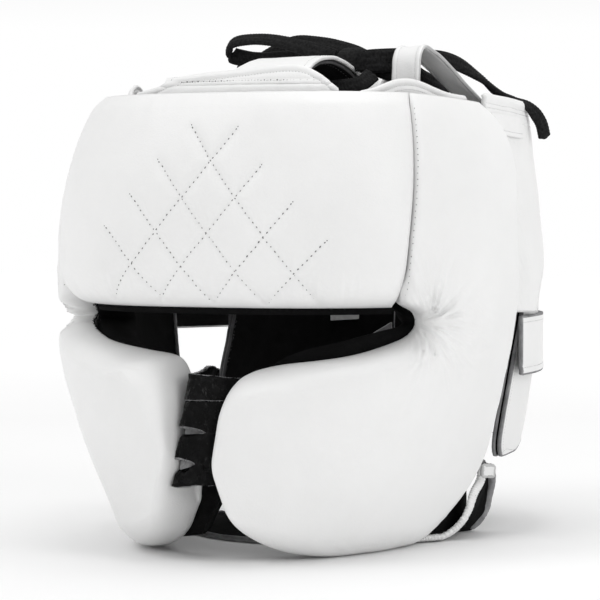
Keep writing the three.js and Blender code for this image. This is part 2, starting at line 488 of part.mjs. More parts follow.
// ---------- laces ----------
const ringLine = [
  { x: 38, y: -21, z: 224 }, { x: 48, y: -16, z: 219.5 }, { x: 54, y: -6, z: 215 }, { x: 56, y: 8, z: 211.5 }, { x: 54, y: 26, z: 210.5 }, { x: 40, y: 50, z: 209.5 },
  { x: 15, y: 69, z: 208.5 }, { x: -15, y: 69, z: 208.5 }, { x: -40, y: 50, z: 208 }, { x: -54, y: 26, z: 206 }, { x: -57, y: 9, z: 204.5 }, { x: -57, y: -5, z: 203 },
  { x: -50, y: -18, z: 206 }, { x: -38, y: -38, z: 209.5 }, { x: -18, y: -52, z: 211 }, { x: 8, y: -54, z: 212 }, { x: 29, y: -49, z: 213 }, { x: 40, y: -42, z: 215 },
  { x: 43, y: -34, z: 219.5 },
];
add('lace_ring', lace(ringLine, 34), laceCloth);
const bowLine = [
  { x: 24, y: -19, z: 226.2 }, { x: 8, y: -18, z: 229 }, { x: -12, y: -16, z: 229.5 }, { x: -28, y: -17, z: 229 }, { x: -37, y: -20, z: 231.5 },
  { x: -30, y: -25, z: 235.5 }, { x: -12, y: -27, z: 237 }, { x: 6, y: -26, z: 236.2 }, { x: 22, y: -25, z: 234 },
];
add('lace_bow', lace(bowLine, 18), laceCloth);
const tailLine = [
  { x: 36, y: -29, z: 229.5 }, { x: 45, y: -21, z: 231.5 }, { x: 53, y: -5, z: 231 }, { x: 62, y: 11, z: 229 }, { x: 70, y: 26, z: 222 }, { x: 80, y: 42, z: 213.5 },
  { x: 90, y: 56, z: 207 }, { x: 95, y: 63, z: 199 }, { x: 96, y: 66, z: 190 },
];
add('lace_tail', lace(tailLine, 16), laceCloth);
const endLine = [
  { x: 35, y: -19, z: 231.5 }, { x: 23, y: -12, z: 236 }, { x: 6, y: -8, z: 238 }, { x: -12, y: -7, z: 236.5 }, { x: -26, y: -8, z: 231.5 }, { x: -36, y: -12, z: 224.5 }, { x: -41, y: -16, z: 218 },
];
add('lace_end', lace(endLine, 12), laceCloth);
const strandLine = [
  { x: 42, y: -26, z: 224.6 }, { x: 47.5, y: -19, z: 225.2 }, { x: 52, y: -9, z: 223 }, { x: 54.5, y: 3, z: 219.5 }, { x: 56, y: 16, z: 217 }, { x: 54, y: 29, z: 216.5 },
];
add('lace_strand', lace(strandLine, 12), laceCloth);

export default headgear;
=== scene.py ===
"""Boxing headgear: the looks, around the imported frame.

Lengths in the tables are millimetres, measured as in the frame: +Z up, the face looks along -Y.
A place on a wall is given by psi (degrees from the front, positive to the wearer's left), z and a
radius from the head axis. Meshes are written in metres.
"""
import bpy
import math
import numpy as np
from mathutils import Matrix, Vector


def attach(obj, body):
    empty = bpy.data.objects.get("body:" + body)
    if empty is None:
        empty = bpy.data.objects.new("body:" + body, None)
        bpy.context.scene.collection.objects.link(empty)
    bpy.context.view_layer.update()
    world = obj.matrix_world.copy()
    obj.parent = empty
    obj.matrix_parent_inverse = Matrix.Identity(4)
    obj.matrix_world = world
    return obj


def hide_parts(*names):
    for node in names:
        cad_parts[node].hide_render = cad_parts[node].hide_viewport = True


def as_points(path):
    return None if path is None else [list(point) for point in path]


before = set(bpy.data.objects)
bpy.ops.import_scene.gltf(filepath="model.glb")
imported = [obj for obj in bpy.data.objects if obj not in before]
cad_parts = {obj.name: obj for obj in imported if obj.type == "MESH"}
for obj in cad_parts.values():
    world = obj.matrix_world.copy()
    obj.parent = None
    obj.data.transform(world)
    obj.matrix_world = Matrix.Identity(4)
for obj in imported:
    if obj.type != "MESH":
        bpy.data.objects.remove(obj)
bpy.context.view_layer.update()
AXIS_Y = 5.2

# ------------------------------------------------------------------ small maths


def ramp(v, a, b):
    t = np.clip((np.asarray(v, float) - a) / (b - a), 0, 1)
    return t * t * (3 - 2 * t)


def mix(a, b, t):
    return a + (b - a) * t


OUTER = np.array([
    # z, half, front, back, n
    [0, 74, 132, 104, 2.2], [13, 79, 136, 106, 2.2], [28, 85, 139, 110, 2.3], [50, 92, 141, 116, 2.6],
    [75, 99, 141, 120, 2.9], [95, 103, 139.5, 121, 3], [112, 105.5, 133, 121, 3], [123, 106, 132.5, 121, 3],
    [166, 105, 130, 118, 3], [200, 102, 125, 114, 3], [230, 97, 118, 108, 3]])
INNER = np.array([
    [0, 50, 100, 84, 2.3], [28, 59, 103, 88, 2.4], [50, 65, 103, 92, 2.5], [75, 71, 103, 96, 2.6],
    [100, 76, 104, 98, 2.6], [123, 78, 105, 98, 2.6], [166, 77.5, 104, 98, 2.6], [200, 75, 100, 95, 2.6],
    [230, 70, 94, 90, 2.6]])
REAR = np.array([
    [25, 83, 120, 114, 2.9], [50, 89, 120, 117, 3], [70, 92, 120, 119, 3], [107, 95, 120, 121, 3],
    [123, 95, 120, 121, 3], [150, 92, 120, 119, 3], [205, 86, 115, 113, 3]])


def column(rows, z, i):
    """A table column at height z, its corners softened over a few millimetres."""
    out = 0
    for off, w in ((-9, 1), (-4.5, 2), (0, 3), (4.5, 2), (9, 1)):
        out = out + w / 9 * np.interp(z + off, rows[:, 0], rows[:, i])
    return out


def egg(rows, psi, z):
    psi, z = np.broadcast_arrays(np.asarray(psi, float), np.asarray(z, float))
    a = column(rows, z, 1)
    b = np.where(np.abs(psi) < 90, column(rows, z, 2), column(rows, z, 3))
    n = column(rows, z, 4)
    s = np.abs(np.sin(np.radians(psi))) / a
    c = np.abs(np.cos(np.radians(psi))) / b
    return (s ** n + c ** n) ** (-1 / n)


def outer_r(psi, z):
    return egg(OUTER, psi, z)


def inner_r(psi, z):
    return egg(INNER, psi, z)


def rear_r(psi, z):
    return egg(REAR, psi, z)


def mid_r(psi, z):
    share = mix(mix(0.12, 0.5, ramp(np.abs(psi), 8, 28)), 0.5, ramp(z, 92, 108))
    return mix(inner_r(psi, z), outer_r(psi, z), share)


def place(psi, z, r):
    psi, z, r = np.broadcast_arrays(np.asarray(psi, float), np.asarray(z, float), np.asarray(r, float))
    a = np.radians(psi)
    return np.stack([r * np.sin(a), AXIS_Y - r * np.cos(a), np.maximum(z, 0)], -1)


# Smooth seeded noise in two dimensions, from -1 to 1.
_lattice = np.random.RandomState(29).rand(12, 128, 128) * 2 - 1


def noise(x, y, layer=0):
    x, y = np.broadcast_arrays(np.asarray(x, float), np.asarray(y, float))
    g = _lattice[layer % 12]
    i, j = np.floor(x).astype(int), np.floor(y).astype(int)
    u, v = x - i, y - j
    u, v = u * u * (3 - 2 * u), v * v * (3 - 2 * v)
    i0, i1, j0, j1 = i % 128, (i + 1) % 128, j % 128, (j + 1) % 128
    return mix(mix(g[i0, j0], g[i1, j0], u), mix(g[i0, j1], g[i1, j1], u), v)


def fbm(x, y, layer=0, octaves=3):
    out, amp, total = 0, 1.0, 0.0
    for k in range(octaves):
        out = out + amp * noise(x * 2 ** k + 17.3 * k, y * 2 ** k - 9.1 * k, layer + k)
        total += amp
        amp *= 0.5
    return out / total


def catmull(rows, n, loop=False):
    """Rows of a table joined by a smooth curve, each step cut in n."""
    p = np.asarray(rows, float)
    out = []
    m = len(p)
    for i in range(m if loop else m - 1):
        a, b, c, d = (p[(i + k) % m] for k in (-1, 0, 1, 2)) if loop else (
            p[max(i - 1, 0)], p[i], p[i + 1], p[min(i + 2, m - 1)])
        for k in range(n):
            t = k / n
            out.append(0.5 * (2 * b + (c - a) * t + (2 * a - 5 * b + 4 * c - d) * t * t + (3 * b - a - 3 * c + d) * t ** 3))
    if not loop:
        out.append(p[-1])
    return np.array(out)


def resample(points, step):
    """A polyline cut in equal steps of about that length."""
    p = np.asarray(points, float)
    d = np.r_[0, np.cumsum(np.linalg.norm(np.diff(p, axis=0), axis=1))]
    n = max(2, int(round(d[-1] / step)) + 1)
    s = np.linspace(0, d[-1], n)
    return np.stack([np.interp(s, d, p[:, k]) for k in range(3)], -1)


def unit(v):
    return v / np.maximum(np.linalg.norm(v, axis=-1, keepdims=True), 1e-12)


# ------------------------------------------------------------------ mesh making

BODY = "root"


LIFT = 3.0


def lifted(verts, name=""):
    """The walls stand a few millimetres taller than in the frame, eased in from the foot up; the laces stay."""
    v = np.array(verts, float)
    if not name.startswith("lace"):
        v[..., 2] += LIFT * ramp(v[..., 2], 8, 70)
    return v


def mesh_object(name, verts, faces, materials, index=None, smooth=True):
    """verts in millimetres, faces a list or an array of corner indices."""
    me = bpy.data.meshes.new(name)
    verts = lifted(verts, name) * 0.001
    loops = [len(f) for f in faces] if not isinstance(faces, np.ndarray) else None
    if loops is None:
        n, k = faces.shape
        me.vertices.add(len(verts)); me.vertices.foreach_set("co", verts.ravel())
        me.loops.add(n * k); me.loops.foreach_set("vertex_index", faces.ravel().astype(np.int32))
        me.polygons.add(n); me.polygons.foreach_set("loop_start", np.arange(0, n * k, k, dtype=np.int32))
    else:
        me.from_pydata([tuple(v) for v in verts], [], [tuple(int(i) for i in f) for f in faces])
    me.update(calc_edges=True)
    me.validate()
    for m in materials:
        me.materials.append(m)
    if index is not None and len(index) == len(me.polygons):
        me.polygons.foreach_set("material_index", np.asarray(index, np.int32))
    me.polygons.foreach_set("use_smooth", np.full(len(me.polygons), bool(smooth)))
    ob = bpy.data.objects.new(name, me)
    bpy.context.scene.collection.objects.link(ob)
    return ob


def grid_quads(nu, nv, offset=0, flip=False):
    i, j = np.meshgrid(np.arange(nu - 1), np.arange(nv - 1), indexing="ij")
    a = (i * nv + j).ravel(); b = ((i + 1) * nv + j).ravel()
    q = np.stack([a, b, b + 1, a + 1], -1) + offset
    return q[:, ::-1] if flip else q


def border(nu, nv):
    """Grid indices round the border, in order."""
    return np.r_[np.arange(nv), np.arange(1, nu) * nv + nv - 1, (nu - 1) * nv + np.arange(nv - 2, -1, -1),
                 np.arange(nu - 2, 0, -1) * nv]


def normals_of(P):
    du = np.gradient(P, axis=0); dv = np.gradient(P, axis=1)
    return unit(np.cross(du, dv))


def slab(P, thick, away=None, rim=3, square=0.5, rough=0.0, layer=3):
    """A leather sheet round the grid P of middle points: top, bottom and a rim between them.
    away is a point that the top looks away from. Returns verts, faces and face kinds 0 top, 1 bottom, 2 rim."""
    nu, nv = P.shape[:2]
    N = normals_of(P)
    if away is not None:
        s = np.sign(np.sum(N * (P - np.asarray(away, float)), axis=-1).sum())
        N = N * (1 if s >= 0 else -1)
    thick = np.broadcast_to(np.asarray(thick, float), (nu, nv))[..., None]
    top, bottom = P + N * thick / 2, P - N * thick / 2
    flat = P.reshape(-1, 3)
    edge = border(nu, nv)
    pe, ne, te = flat[edge], N.reshape(-1, 3)[edge], thick.reshape(-1, 1)[edge]
    tan = unit(np.roll(pe, -1, axis=0) - np.roll(pe, 1, axis=0))
    out = unit(np.cross(tan, ne))
    centre = flat.mean(0)
    near = unit(pe - centre)
    if np.sum(out * near) < 0:
        out = -out
    rows = []
    k = len(edge)
    for i in range(1, rim + 1):
        a = math.pi * (0.5 - i / (rim + 1))
        c = math.copysign(abs(math.cos(a)) ** square, math.cos(a)) * 0.5
        h = math.copysign(abs(math.sin(a)) ** square, math.sin(a)) * 0.5
        jitter = rough * fbm(np.arange(k) * 0.9 + 31 * i, np.full(k, i * 1.7), layer, 2)[:, None] if rough else 0
        rows.append(pe + ne * te * h + out * (te * c + jitter))
    verts = np.concatenate([top.reshape(-1, 3), bottom.reshape(-1, 3)] + rows)
    outward = np.cross(P[1, 0] - P[0, 0], P[0, 1] - P[0, 0]) @ N[0, 0] > 0
    faces = [grid_quads(nu, nv, 0, not outward), grid_quads(nu, nv, nu * nv, outward)]
    rings = [edge] + [2 * nu * nv + i * k + np.arange(k) for i in range(rim)] + [edge + nu * nv]
    strip = []
    for r0, r1 in zip(rings[:-1], rings[1:]):
        q = np.stack([r0, np.roll(r0, -1), np.roll(r1, -1), r1], -1)
        strip.append(q)
    strip = np.concatenate(strip)
    n = np.cross(verts[strip[:, 1]] - verts[strip[:, 0]], verts[strip[:, 3]] - verts[strip[:, 0]])
    if np.sum(n * np.tile(out, (rim + 1, 1))) < 0:
        strip = strip[:, ::-1]
    faces.append(strip)
    kinds = np.r_[np.zeros(len(faces[0])), np.ones(len(faces[1])), np.full(len(strip), 2)]
    return verts, np.concatenate(faces), kinds


def finish_piece(ob, nodes):
    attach(ob, BODY)
    if nodes:
        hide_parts(*([nodes] if isinstance(nodes, str) else nodes))
    return ob


class Threads:
    """Stitches and needle holes, gathered and joined in one mesh at the end."""

    def __init__(self):
        self.verts, self.faces, self.kind, self.n = [], [], [], 0

    def pill(self, c, t, n, length, width, height, kind, sides=6):
        b = unit(np.cross(n, t))
        rings = []
        for f, w in ((-0.5, 0.25), (-0.38, 0.8), (0, 1), (0.38, 0.8), (0.5, 0.25)):
            drop = -height * 0.9 * (abs(f) * 2) ** 2
            for k in range(sides):
                a = 2 * math.pi * k / sides
                rings.append(c + t * (f * length) + b * (math.cos(a) * w * width / 2) + n * (math.sin(a) * w * height / 2 + drop))
        v0 = self.n
        self.verts += rings
        for r in range(4):
            for k in range(sides):
                k2 = (k + 1) % sides
                self.faces.append((v0 + r * sides + k, v0 + r * sides + k2, v0 + (r + 1) * sides + k2, v0 + (r + 1) * sides + k))
                self.kind.append(kind)
        self.faces.append(tuple(v0 + k for k in range(sides))[::-1]); self.kind.append(kind)
        self.faces.append(tuple(v0 + 4 * sides + k for k in range(sides))); self.kind.append(kind)
        self.n += 5 * sides

    def dot(self, c, n, radius, kind=1, sides=7, rise=0.12):
        t = unit(np.cross(n, np.array([0.31, 0.62, 0.71])))
        b = np.cross(n, t)
        v0 = self.n
        self.verts.append(c + n * rise)
        for k in range(sides):
            a = 2 * math.pi * k / sides
            self.verts.append(c + (t * math.cos(a) + b * math.sin(a)) * radius - n * 0.15)
        for k in range(sides):
            self.faces.append((v0, v0 + 1 + k, v0 + 1 + (k + 1) % sides)); self.kind.append(kind)
        self.n += sides + 1

    def run(self, points, normals, pitch=3.9, length=2.7, width=0.75, height=0.55, hole=0.42, lift=0.0, skip=0, kind=0, wander=0.0, seed=0):
        """Stitches along a polyline; normals is one vector, or one for each point, or a function of a point."""
        p = np.asarray(points, float)
        d = np.r_[0, np.cumsum(np.linalg.norm(np.diff(p, axis=0), axis=1))]
        count = int(d[-1] // pitch)
        rng = np.random.RandomState(seed + 5)
        at = lambda s: np.array([np.interp(s, d, p[:, k]) for k in range(3)])
        for i in range(skip, count):
            s = (i + 0.5) * pitch
            c, t = at(s), unit(at(s + 0.8) - at(s - 0.8))
            if callable(normals):
                n = normals(c)
            elif np.ndim(normals) == 2:
                n = np.array([np.interp(s, d, np.asarray(normals)[:, k]) for k in range(3)])
            else:
                n = np.asarray(normals, float)
            n = unit(n - t * (n @ t))
            b = np.cross(n, t)
            c = c + n * lift + b * wander * (rng.rand() - 0.5)
            if length > 0:
                self.pill(c, unit(t + b * 0.12 * (rng.rand() - 0.5)), n, length * (0.92 + 0.16 * rng.rand()), width, height, kind)
            if hole > 0:
                self.dot(at(s - pitch / 2) + n * lift, n, hole * (0.85 + 0.3 * rng.rand()))

    def build(self, name, materials):
        me = bpy.data.meshes.new(name)
        me.from_pydata([tuple(v) for v in lifted(self.verts) * 0.001], [], self.faces)
        me.update()
        for m in materials:
            me.materials.append(m)
        me.polygons.foreach_set("material_index", np.asarray(self.kind, np.int32))
        me.polygons.foreach_set("use_smooth", np.ones(len(me.polygons), bool))
        ob = bpy.data.objects.new(name, me)
        bpy.context.scene.collection.objects.link(ob)
        return ob


# ------------------------------------------------------------------ materials


def new_material(name, color, rough, spec=0.5):
    m = bpy.data.materials.new(name)
    m.use_nodes = True
    nt = m.node_tree
    p = nt.nodes["Principled BSDF"]
    p.inputs["Base Color"].default_value = (*color, 1)
    p.inputs["Roughness"].default_value = rough
    p.inputs["Specular IOR Level"].default_value = spec
    return m, nt, p


def add_node(nt, kind, **values):
    n = nt.nodes.new(kind)
    for k, v in values.items():
        if k in n.inputs:
            n.inputs[k].default_value = v
        else:
            setattr(n, k, v)
    return n


def coords(nt, scale=(1, 1, 1)):
    tc = nt.nodes.new("ShaderNodeTexCoord")
    mp = nt.nodes.new("ShaderNodeMapping")
    mp.inputs["Scale"].default_value = scale
    nt.links.new(tc.outputs["Object"], mp.inputs["Vector"])
    return mp.outputs["Vector"]


def tex_noise(nt, vector, scale, detail=3.0, rough=0.5):
    n = add_node(nt, "ShaderNodeTexNoise", Scale=scale, Detail=detail, Roughness=rough)
    nt.links.new(vector, n.inputs["Vector"])
    return n.outputs["Fac"]


def tex_cells(nt, vector, scale, feature="F1"):
    n = nt.nodes.new("ShaderNodeTexVoronoi")
    n.feature = feature
    n.inputs["Scale"].default_value = scale
    nt.links.new(vector, n.inputs["Vector"])
    return n.outputs["Distance"]


def ramp_node(nt, fac, stops):
    r = nt.nodes.new("ShaderNodeValToRGB")
    while len(r.color_ramp.elements) < len(stops):
        r.color_ramp.elements.new(0.5)
    for e, (pos, c) in zip(r.color_ramp.elements, stops):
        e.position = pos
        e.color = (*c, 1) if len(c) == 3 else (c[0], c[0], c[0], 1)
    nt.links.new(fac, r.inputs["Fac"])
    return r.outputs["Color"]


def bump(nt, height, distance, strength, after=None):
    b = nt.nodes.new("ShaderNodeBump")
    b.inputs["Distance"].default_value = distance
    b.inputs["Strength"].default_value = strength
    nt.links.new(height, b.inputs["Height"])
    if after is not None:
        nt.links.new(after, b.inputs["Normal"])
    return b.outputs["Normal"]


def leather(name, base, low, rough=(0.4, 0.52), grain=0.5, crease=0.4):
    m, nt, p = new_material(name, base, rough[0])
    v = coords(nt)
    cells = tex_cells(nt, v, 1150)
    fine = tex_noise(nt, v, 2600, 2, 0.6)
    soft = tex_noise(nt, v, 46, 4, 0.55)
    creases = tex_noise(nt, coords(nt, (1, 1, 0.42)), 210, 5, 0.62)
    n1 = bump(nt, soft, 0.0012, 0.10)
    n2 = bump(nt, creases, 0.0006, crease * 0.35, n1)
    n3 = bump(nt, cells, 0.00022, grain * 0.5, n2)
    n4 = bump(nt, fine, 0.00012, grain * 0.5, n3)
    nt.links.new(n4, p.inputs["Normal"])
    tone = tex_noise(nt, v, 15, 5, 0.6)
    col = ramp_node(nt, tone, [(0.30, low), (0.62, base)])
    nt.links.new(col, p.inputs["Base Color"])
    r = ramp_node(nt, tex_noise(nt, v, 70, 4, 0.6), [(0.3, (rough[0],)), (0.7, (rough[1],))])
    nt.links.new(r, p.inputs["Roughness"])
    return m, nt, p


WHITE, _nt, _p = leather("white_leather", (0.88, 0.88, 0.877), (0.84, 0.84, 0.836))
_p.inputs["Coat Weight"].default_value = 0.12
_p.inputs["Coat Roughness"].default_value = 0.35
WRINKLED, _nt, _p = leather("white_leather_thin", (0.885, 0.885, 0.881), (0.83, 0.83, 0.826), (0.42, 0.56), 0.6, 1.3)
# grey copy of the white leather: painted shade, used on the right cheek's end face in the mouth gap
SHADED, _nt, _p = leather("white_leather_painted_shade", (0.50, 0.50, 0.502), (0.40, 0.40, 0.402), (0.7, 0.85), 1.0, 1.2)


def suede(name, dark, light, sheen=0.15, sheen_tint=(0.5, 0.5, 0.5), nap=1.0):
    m, nt, p = new_material(name, dark, 0.95, 0.15)
    v = coords(nt)
    hair = tex_noise(nt, v, 1500, 4, 0.7)
    patches = tex_noise(nt, v, 90, 5, 0.65)
    col = ramp_node(nt, patches, [(0.35, dark), (0.72, light)])
    nt.links.new(col, p.inputs["Base Color"])
    n1 = bump(nt, patches, 0.0008, 0.25 * nap)
    n2 = bump(nt, hair, 0.0005, 0.7 * nap, n1)
    nt.links.new(n2, p.inputs["Normal"])
    p.inputs["Sheen Weight"].default_value = sheen
    p.inputs["Sheen Roughness"].default_value = 0.6
    p.inputs["Sheen Tint"].default_value = (*sheen_tint, 1)
    return m


BLACK = suede("black_suede", (0.0016, 0.0016, 0.0017), (0.005, 0.005, 0.0053), 0.0)
GREY = suede("raw_suede", (0.17, 0.17, 0.175), (0.38, 0.38, 0.385), 0.3, nap=1.4)
# darker raw suede: the dark cut edge of the black flap lining, and painted shade on the right side's panel and strap
# edges, which on the left side are plain raw suede grey
DARK_GREY = suede("raw_suede_dark_and_painted_shade", (0.045, 0.045, 0.047), (0.12, 0.12, 0.123), 0.2, nap=1.3)
PALE_RAW = suede("raw_leather_pale", (0.55, 0.55, 0.55), (0.72, 0.72, 0.715), 0.2, nap=0.8)
# needle holes: drawn as small low cones, their near-black colour is painted shade inside the holes
HOLE, _nt, _p = new_material("needle_hole_painted_shade", (0.07, 0.07, 0.072), 0.9, 0.1)
THREAD, _nt, _p = new_material("thread", (0.74, 0.74, 0.74), 0.6, 0.3)
_v = coords(_nt)
_nt.links.new(bump(_nt, tex_noise(_nt, _v, 3200, 2), 0.0001, 0.6), _p.inputs["Normal"])
_nt.links.new(ramp_node(_nt, tex_noise(_nt, _v, 260, 2), [(0.3, (0.62, 0.62, 0.62)), (0.7, (0.8, 0.8, 0.8))]), _p.inputs["Base Color"])
THREAD_DARK, _nt, _p = new_material("thread_in_shade", (0.17, 0.17, 0.172), 0.75, 0.2)
_v = coords(_nt)
_nt.links.new(ramp_node(_nt, tex_noise(_nt, _v, 420, 2), [(0.3, (0.10, 0.10, 0.102)), (0.7, (0.26, 0.26, 0.262))]), _p.inputs["Base Color"])
THREAD_GREY, _nt, _p = new_material("thread_grey", (0.2, 0.2, 0.2), 0.7, 0.3)
_v = coords(_nt)
_nt.links.new(bump(_nt, tex_noise(_nt, _v, 3200, 2), 0.0001, 0.6), _p.inputs["Normal"])

PATENT, _nt, _p = new_material("patent_leather", (0.002, 0.002, 0.0021), 0.24, 0.11)
_v = coords(_nt)
_c1 = tex_cells(_nt, coords(_nt, (1, 1, 0.55)), 310)
_c2 = tex_noise(_nt, coords(_nt, (1, 1, 0.35)), 240, 6, 0.7)
_n = bump(_nt, _c1, 0.0006, 0.35)
_n = bump(_nt, _c2, 0.0007, 0.55, _n)
_nt.links.new(_n, _p.inputs["Normal"])
# painted highlights: thin bright grey streaks in the black base colour stand in for glints along the creases
_painted_highlight_streak = tex_noise(_nt, coords(_nt, (1, 1, 0.3)), 330, 8, 0.72)
_nt.links.new(ramp_node(_nt, _painted_highlight_streak, [(0.4, (0.0012, 0.0012, 0.0013)), (0.60, (0.003, 0.003, 0.0032)), (0.68, (0.05, 0.05, 0.05)), (0.76, (0.24, 0.24, 0.24))]), _p.inputs["Base Color"])
_nt.links.new(ramp_node(_nt, tex_noise(_nt, _v, 150, 4, 0.6), [(0.35, (0.16,)), (0.7, (0.42,))]), _p.inputs["Roughness"])
_p.inputs["Coat Weight"].default_value = 0.03
_p.inputs["Coat Roughness"].default_value = 0.15

LACE, _nt, _p = new_material("black_lace", (0.010, 0.010, 0.0105), 0.8, 0.12)
_v = coords(_nt)
_nt.links.new(ramp_node(_nt, tex_noise(_nt, _v, 700, 3, 0.6), [(0.35, (0.006, 0.006, 0.0062)), (0.7, (0.020, 0.020, 0.0205))]), _p.inputs["Base Color"])
_nt.links.new(bump(_nt, tex_noise(_nt, _v, 2400, 3, 0.6), 0.0003, 0.6), _p.inputs["Normal"])
_p.inputs["Sheen Weight"].default_value = 0.01
_p.inputs["Sheen Roughness"].default_value = 0.5

LABEL, _nt, _p = new_material("label_cloth", (0.62, 0.62, 0.61), 0.9, 0.2)
_w = add_node(_nt, "ShaderNodeTexWave", Scale=1500.0, Distortion=0.4)
_nt.links.new(coords(_nt), _w.inputs["Vector"])
_nt.links.new(bump(_nt, _w.outputs["Fac"], 0.0002, 0.5), _p.inputs["Normal"])
_nt.links.new(ramp_node(_nt, tex_noise(_nt, coords(_nt), 200, 3), [(0.3, (0.5, 0.5, 0.5)), (0.7, (0.68, 0.68, 0.67))]), _p.inputs["Base Color"])

# ------------------------------------------------------------------ camera, light, floor

AZ, EL, DIST = math.radians(25), math.radians(2), 1.25
AIM = Vector((-0.0082, 0.0014, 0.1125))
back = Vector((math.sin(AZ) * math.cos(EL), -math.cos(AZ) * math.cos(EL), math.sin(EL)))
cam_data = bpy.data.cameras.new("camera")
cam_data.sensor_width = 36
cam_data.lens = 36 * 2050 * DIST / 600
cam_data.clip_start = 0.05
cam = bpy.data.objects.new("camera", cam_data)
bpy.context.scene.collection.objects.link(cam)
cam.location = AIM + back * DIST
cam.rotation_euler = back.to_track_quat("Z", "Y").to_euler()
bpy.context.scene.camera = cam

scene = bpy.context.scene
scene.view_settings.view_transform = "Standard"
scene.view_settings.look = "None"
scene.view_settings.exposure = 0
world = bpy.data.worlds.new("world")
scene.world = world
world.use_nodes = True
bg = world.node_tree.nodes["Background"]
_w = world.node_tree
_tc = _w.nodes.new("ShaderNodeTexCoord")
_sep = _w.nodes.new("ShaderNodeSeparateXYZ")
_w.links.new(_tc.outputs["Generated"], _sep.inputs["Vector"])
_mr = _w.nodes.new("ShaderNodeMapRange")
_mr.inputs["From Min"].default_value = -1
_w.links.new(_sep.outputs["Z"], _mr.inputs["Value"])
_w.links.new(ramp_node(_w, _mr.outputs["Result"], [(0.40, (0.6,)), (0.48, (1.0,)), (0.535, (1.0,)), (0.58, (0.76,)), (0.74, (0.60,))]), bg.inputs["Color"])
bg.inputs["Strength"].default_value = 1.0


def area(name, loc, target, size, power, color=(1, 1, 1)):
    li = bpy.data.lights.new(name, "AREA")
    li.shape = "RECTANGLE"
    li.size, li.size_y = size
    li.energy = power
    li.color = color
    ob = bpy.data.objects.new(name, li)
    bpy.context.scene.collection.objects.link(ob)
    ob.location = loc
    ob.rotation_euler = (Vector(loc) - Vector(target)).to_track_quat("Z", "Y").to_euler()
    return ob


area("key", (-1.0, -1.1, 1.7), (0, 0, 0.12), (0.9, 0.9), 6.8)
area("fill", (1.8, -0.5, 1.0), (0, 0, 0.1), (0.8, 1.0), 5.0)
area("top", (0.1, 0.2, 1.9), (0, 0, 0.1), (1.2, 1.2), 11.5)
area("rear", (0.6, 1.8, 1.0), (0, 0, 0.1), (1.2, 1.0), 1.5)

bpy.ops.mesh.primitive_grid_add(x_subdivisions=4, y_subdivisions=4, size=9, location=(0, 0, 0))
floor = bpy.context.object
floor.name = "floor"
_m, _nt, _p = new_material("floor_white", (0.93, 0.93, 0.93), 0.9, 0.05)
# the far floor glows a little, so that it runs into the pale backdrop without an edge
_tc = _nt.nodes.new("ShaderNodeTexCoord")
_len = _nt.nodes.new("ShaderNodeVectorMath")
_len.operation = "LENGTH"
_nt.links.new(_tc.outputs["Object"], _len.inputs[0])
_mr = _nt.nodes.new("ShaderNodeMapRange")
_mr.inputs["From Min"].default_value = 0.15
_mr.inputs["From Max"].default_value = 3.0
_nt.links.new(_len.outputs["Value"], _mr.inputs["Value"])
_nt.links.new(ramp_node(_nt, _mr.outputs["Result"], [(0.0, (0.012, 0.012, 0.012)), (0.2, (0.055, 0.055, 0.055)), (0.45, (0.24, 0.24, 0.24)), (1.0, (0.42, 0.42, 0.42))]), _p.inputs["Emission Color"])
_p.inputs["Emission Strength"].default_value = 1.0
floor.data.materials.append(_m)

# ------------------------------------------------------------------ laces

LACE_W, LACE_T = 8.0, 2.6
# Routes measured from the head axis, as in the frame's part.
LACES = {
    "lace_ring": [(38, -21, 224), (48, -16, 219.5), (54, -6, 215), (56, 8, 211.5), (54, 26, 210.5), (40, 50, 209.5), (15, 69, 208.5),
                  (-15, 69, 208.5), (-40, 50, 208), (-54, 26, 206), (-57, 9, 204.5), (-57, -5, 203), (-50, -18, 206), (-38, -38, 209.5),
                  (-18, -52, 211), (8, -54, 212), (29, -49, 213), (40, -42, 215), (43, -34, 219.5)],
    "lace_bow": [(24, -19, 226.2), (8, -18, 228.6), (-12, -16, 229.4), (-28, -17, 229.4), (-38, -20, 232.2), (-35, -24, 236.8), (-23, -26, 238.5),
                 (-10, -26.5, 237.4), (6, -26, 233.2), (20, -25, 229)],
    "lace_tail": [(29, -31, 225.5), (36, -29, 227.6), (45, -21, 228.8), (54, -5, 229.4), (64, 13, 228), (72.5, 28, 221), (78.5, 40, 213.2), (83.5, 49.5, 210.2), (88.5, 56, 206.8),
                  (92.5, 61, 200), (94, 63.5, 191.5)],
    "lace_end": [(34, -20, 228.5), (23, -12, 232.4), (6, -8, 236.4), (-9, -7, 237.4), (-20, -8.5, 233), (-30, -11, 227.6), (-37, -14, 223.4)],
    "lace_strand": [(33, -30, 225.2), (42, -26, 224.8), (47.5, -19, 225.2), (52, -9, 223), (54.5, 3, 219.5), (56, 16, 217), (54, 29, 216.5)],
}
# Which way the lace's flat face looks, at each route point.
LACE_FACE = {
    "lace_ring": [(0.35, -0.85, 0.45)] * 19,
    "lace_bow": [(0.2, -0.9, 0.3), (0.2, -0.9, -0.2), (0.2, -0.92, -0.25), (-0.1, -0.66, -0.75), (-0.95, -0.5, 0.1), (-0.2, -0.62, 0.76), (0.1, -0.55, 0.83),
                 (0.2, -0.6, 0.78), (0.2, -0.85, 0.5), (0.2, -0.9, 0.4)],
    "lace_tail": [(0.5, -0.8, 0.3)] * 5 + [(0.6, -0.6, 0.55), (0.4, -0.3, 0.85), (0.15, -0.1, 1.0), (0.4, 0.1, 0.9), (0.9, -0.4, 0.3), (0.9, -0.4, 0.2)],
    "lace_end": [(0.2, -0.8, 0.6)] * 4 + [(-0.1, -0.9, 0.3), (-0.5, -0.8, 0.3), (-0.5, -0.8, 0.3)],
    "lace_strand": [(0.5, -0.8, 0.35)] * 7,
}


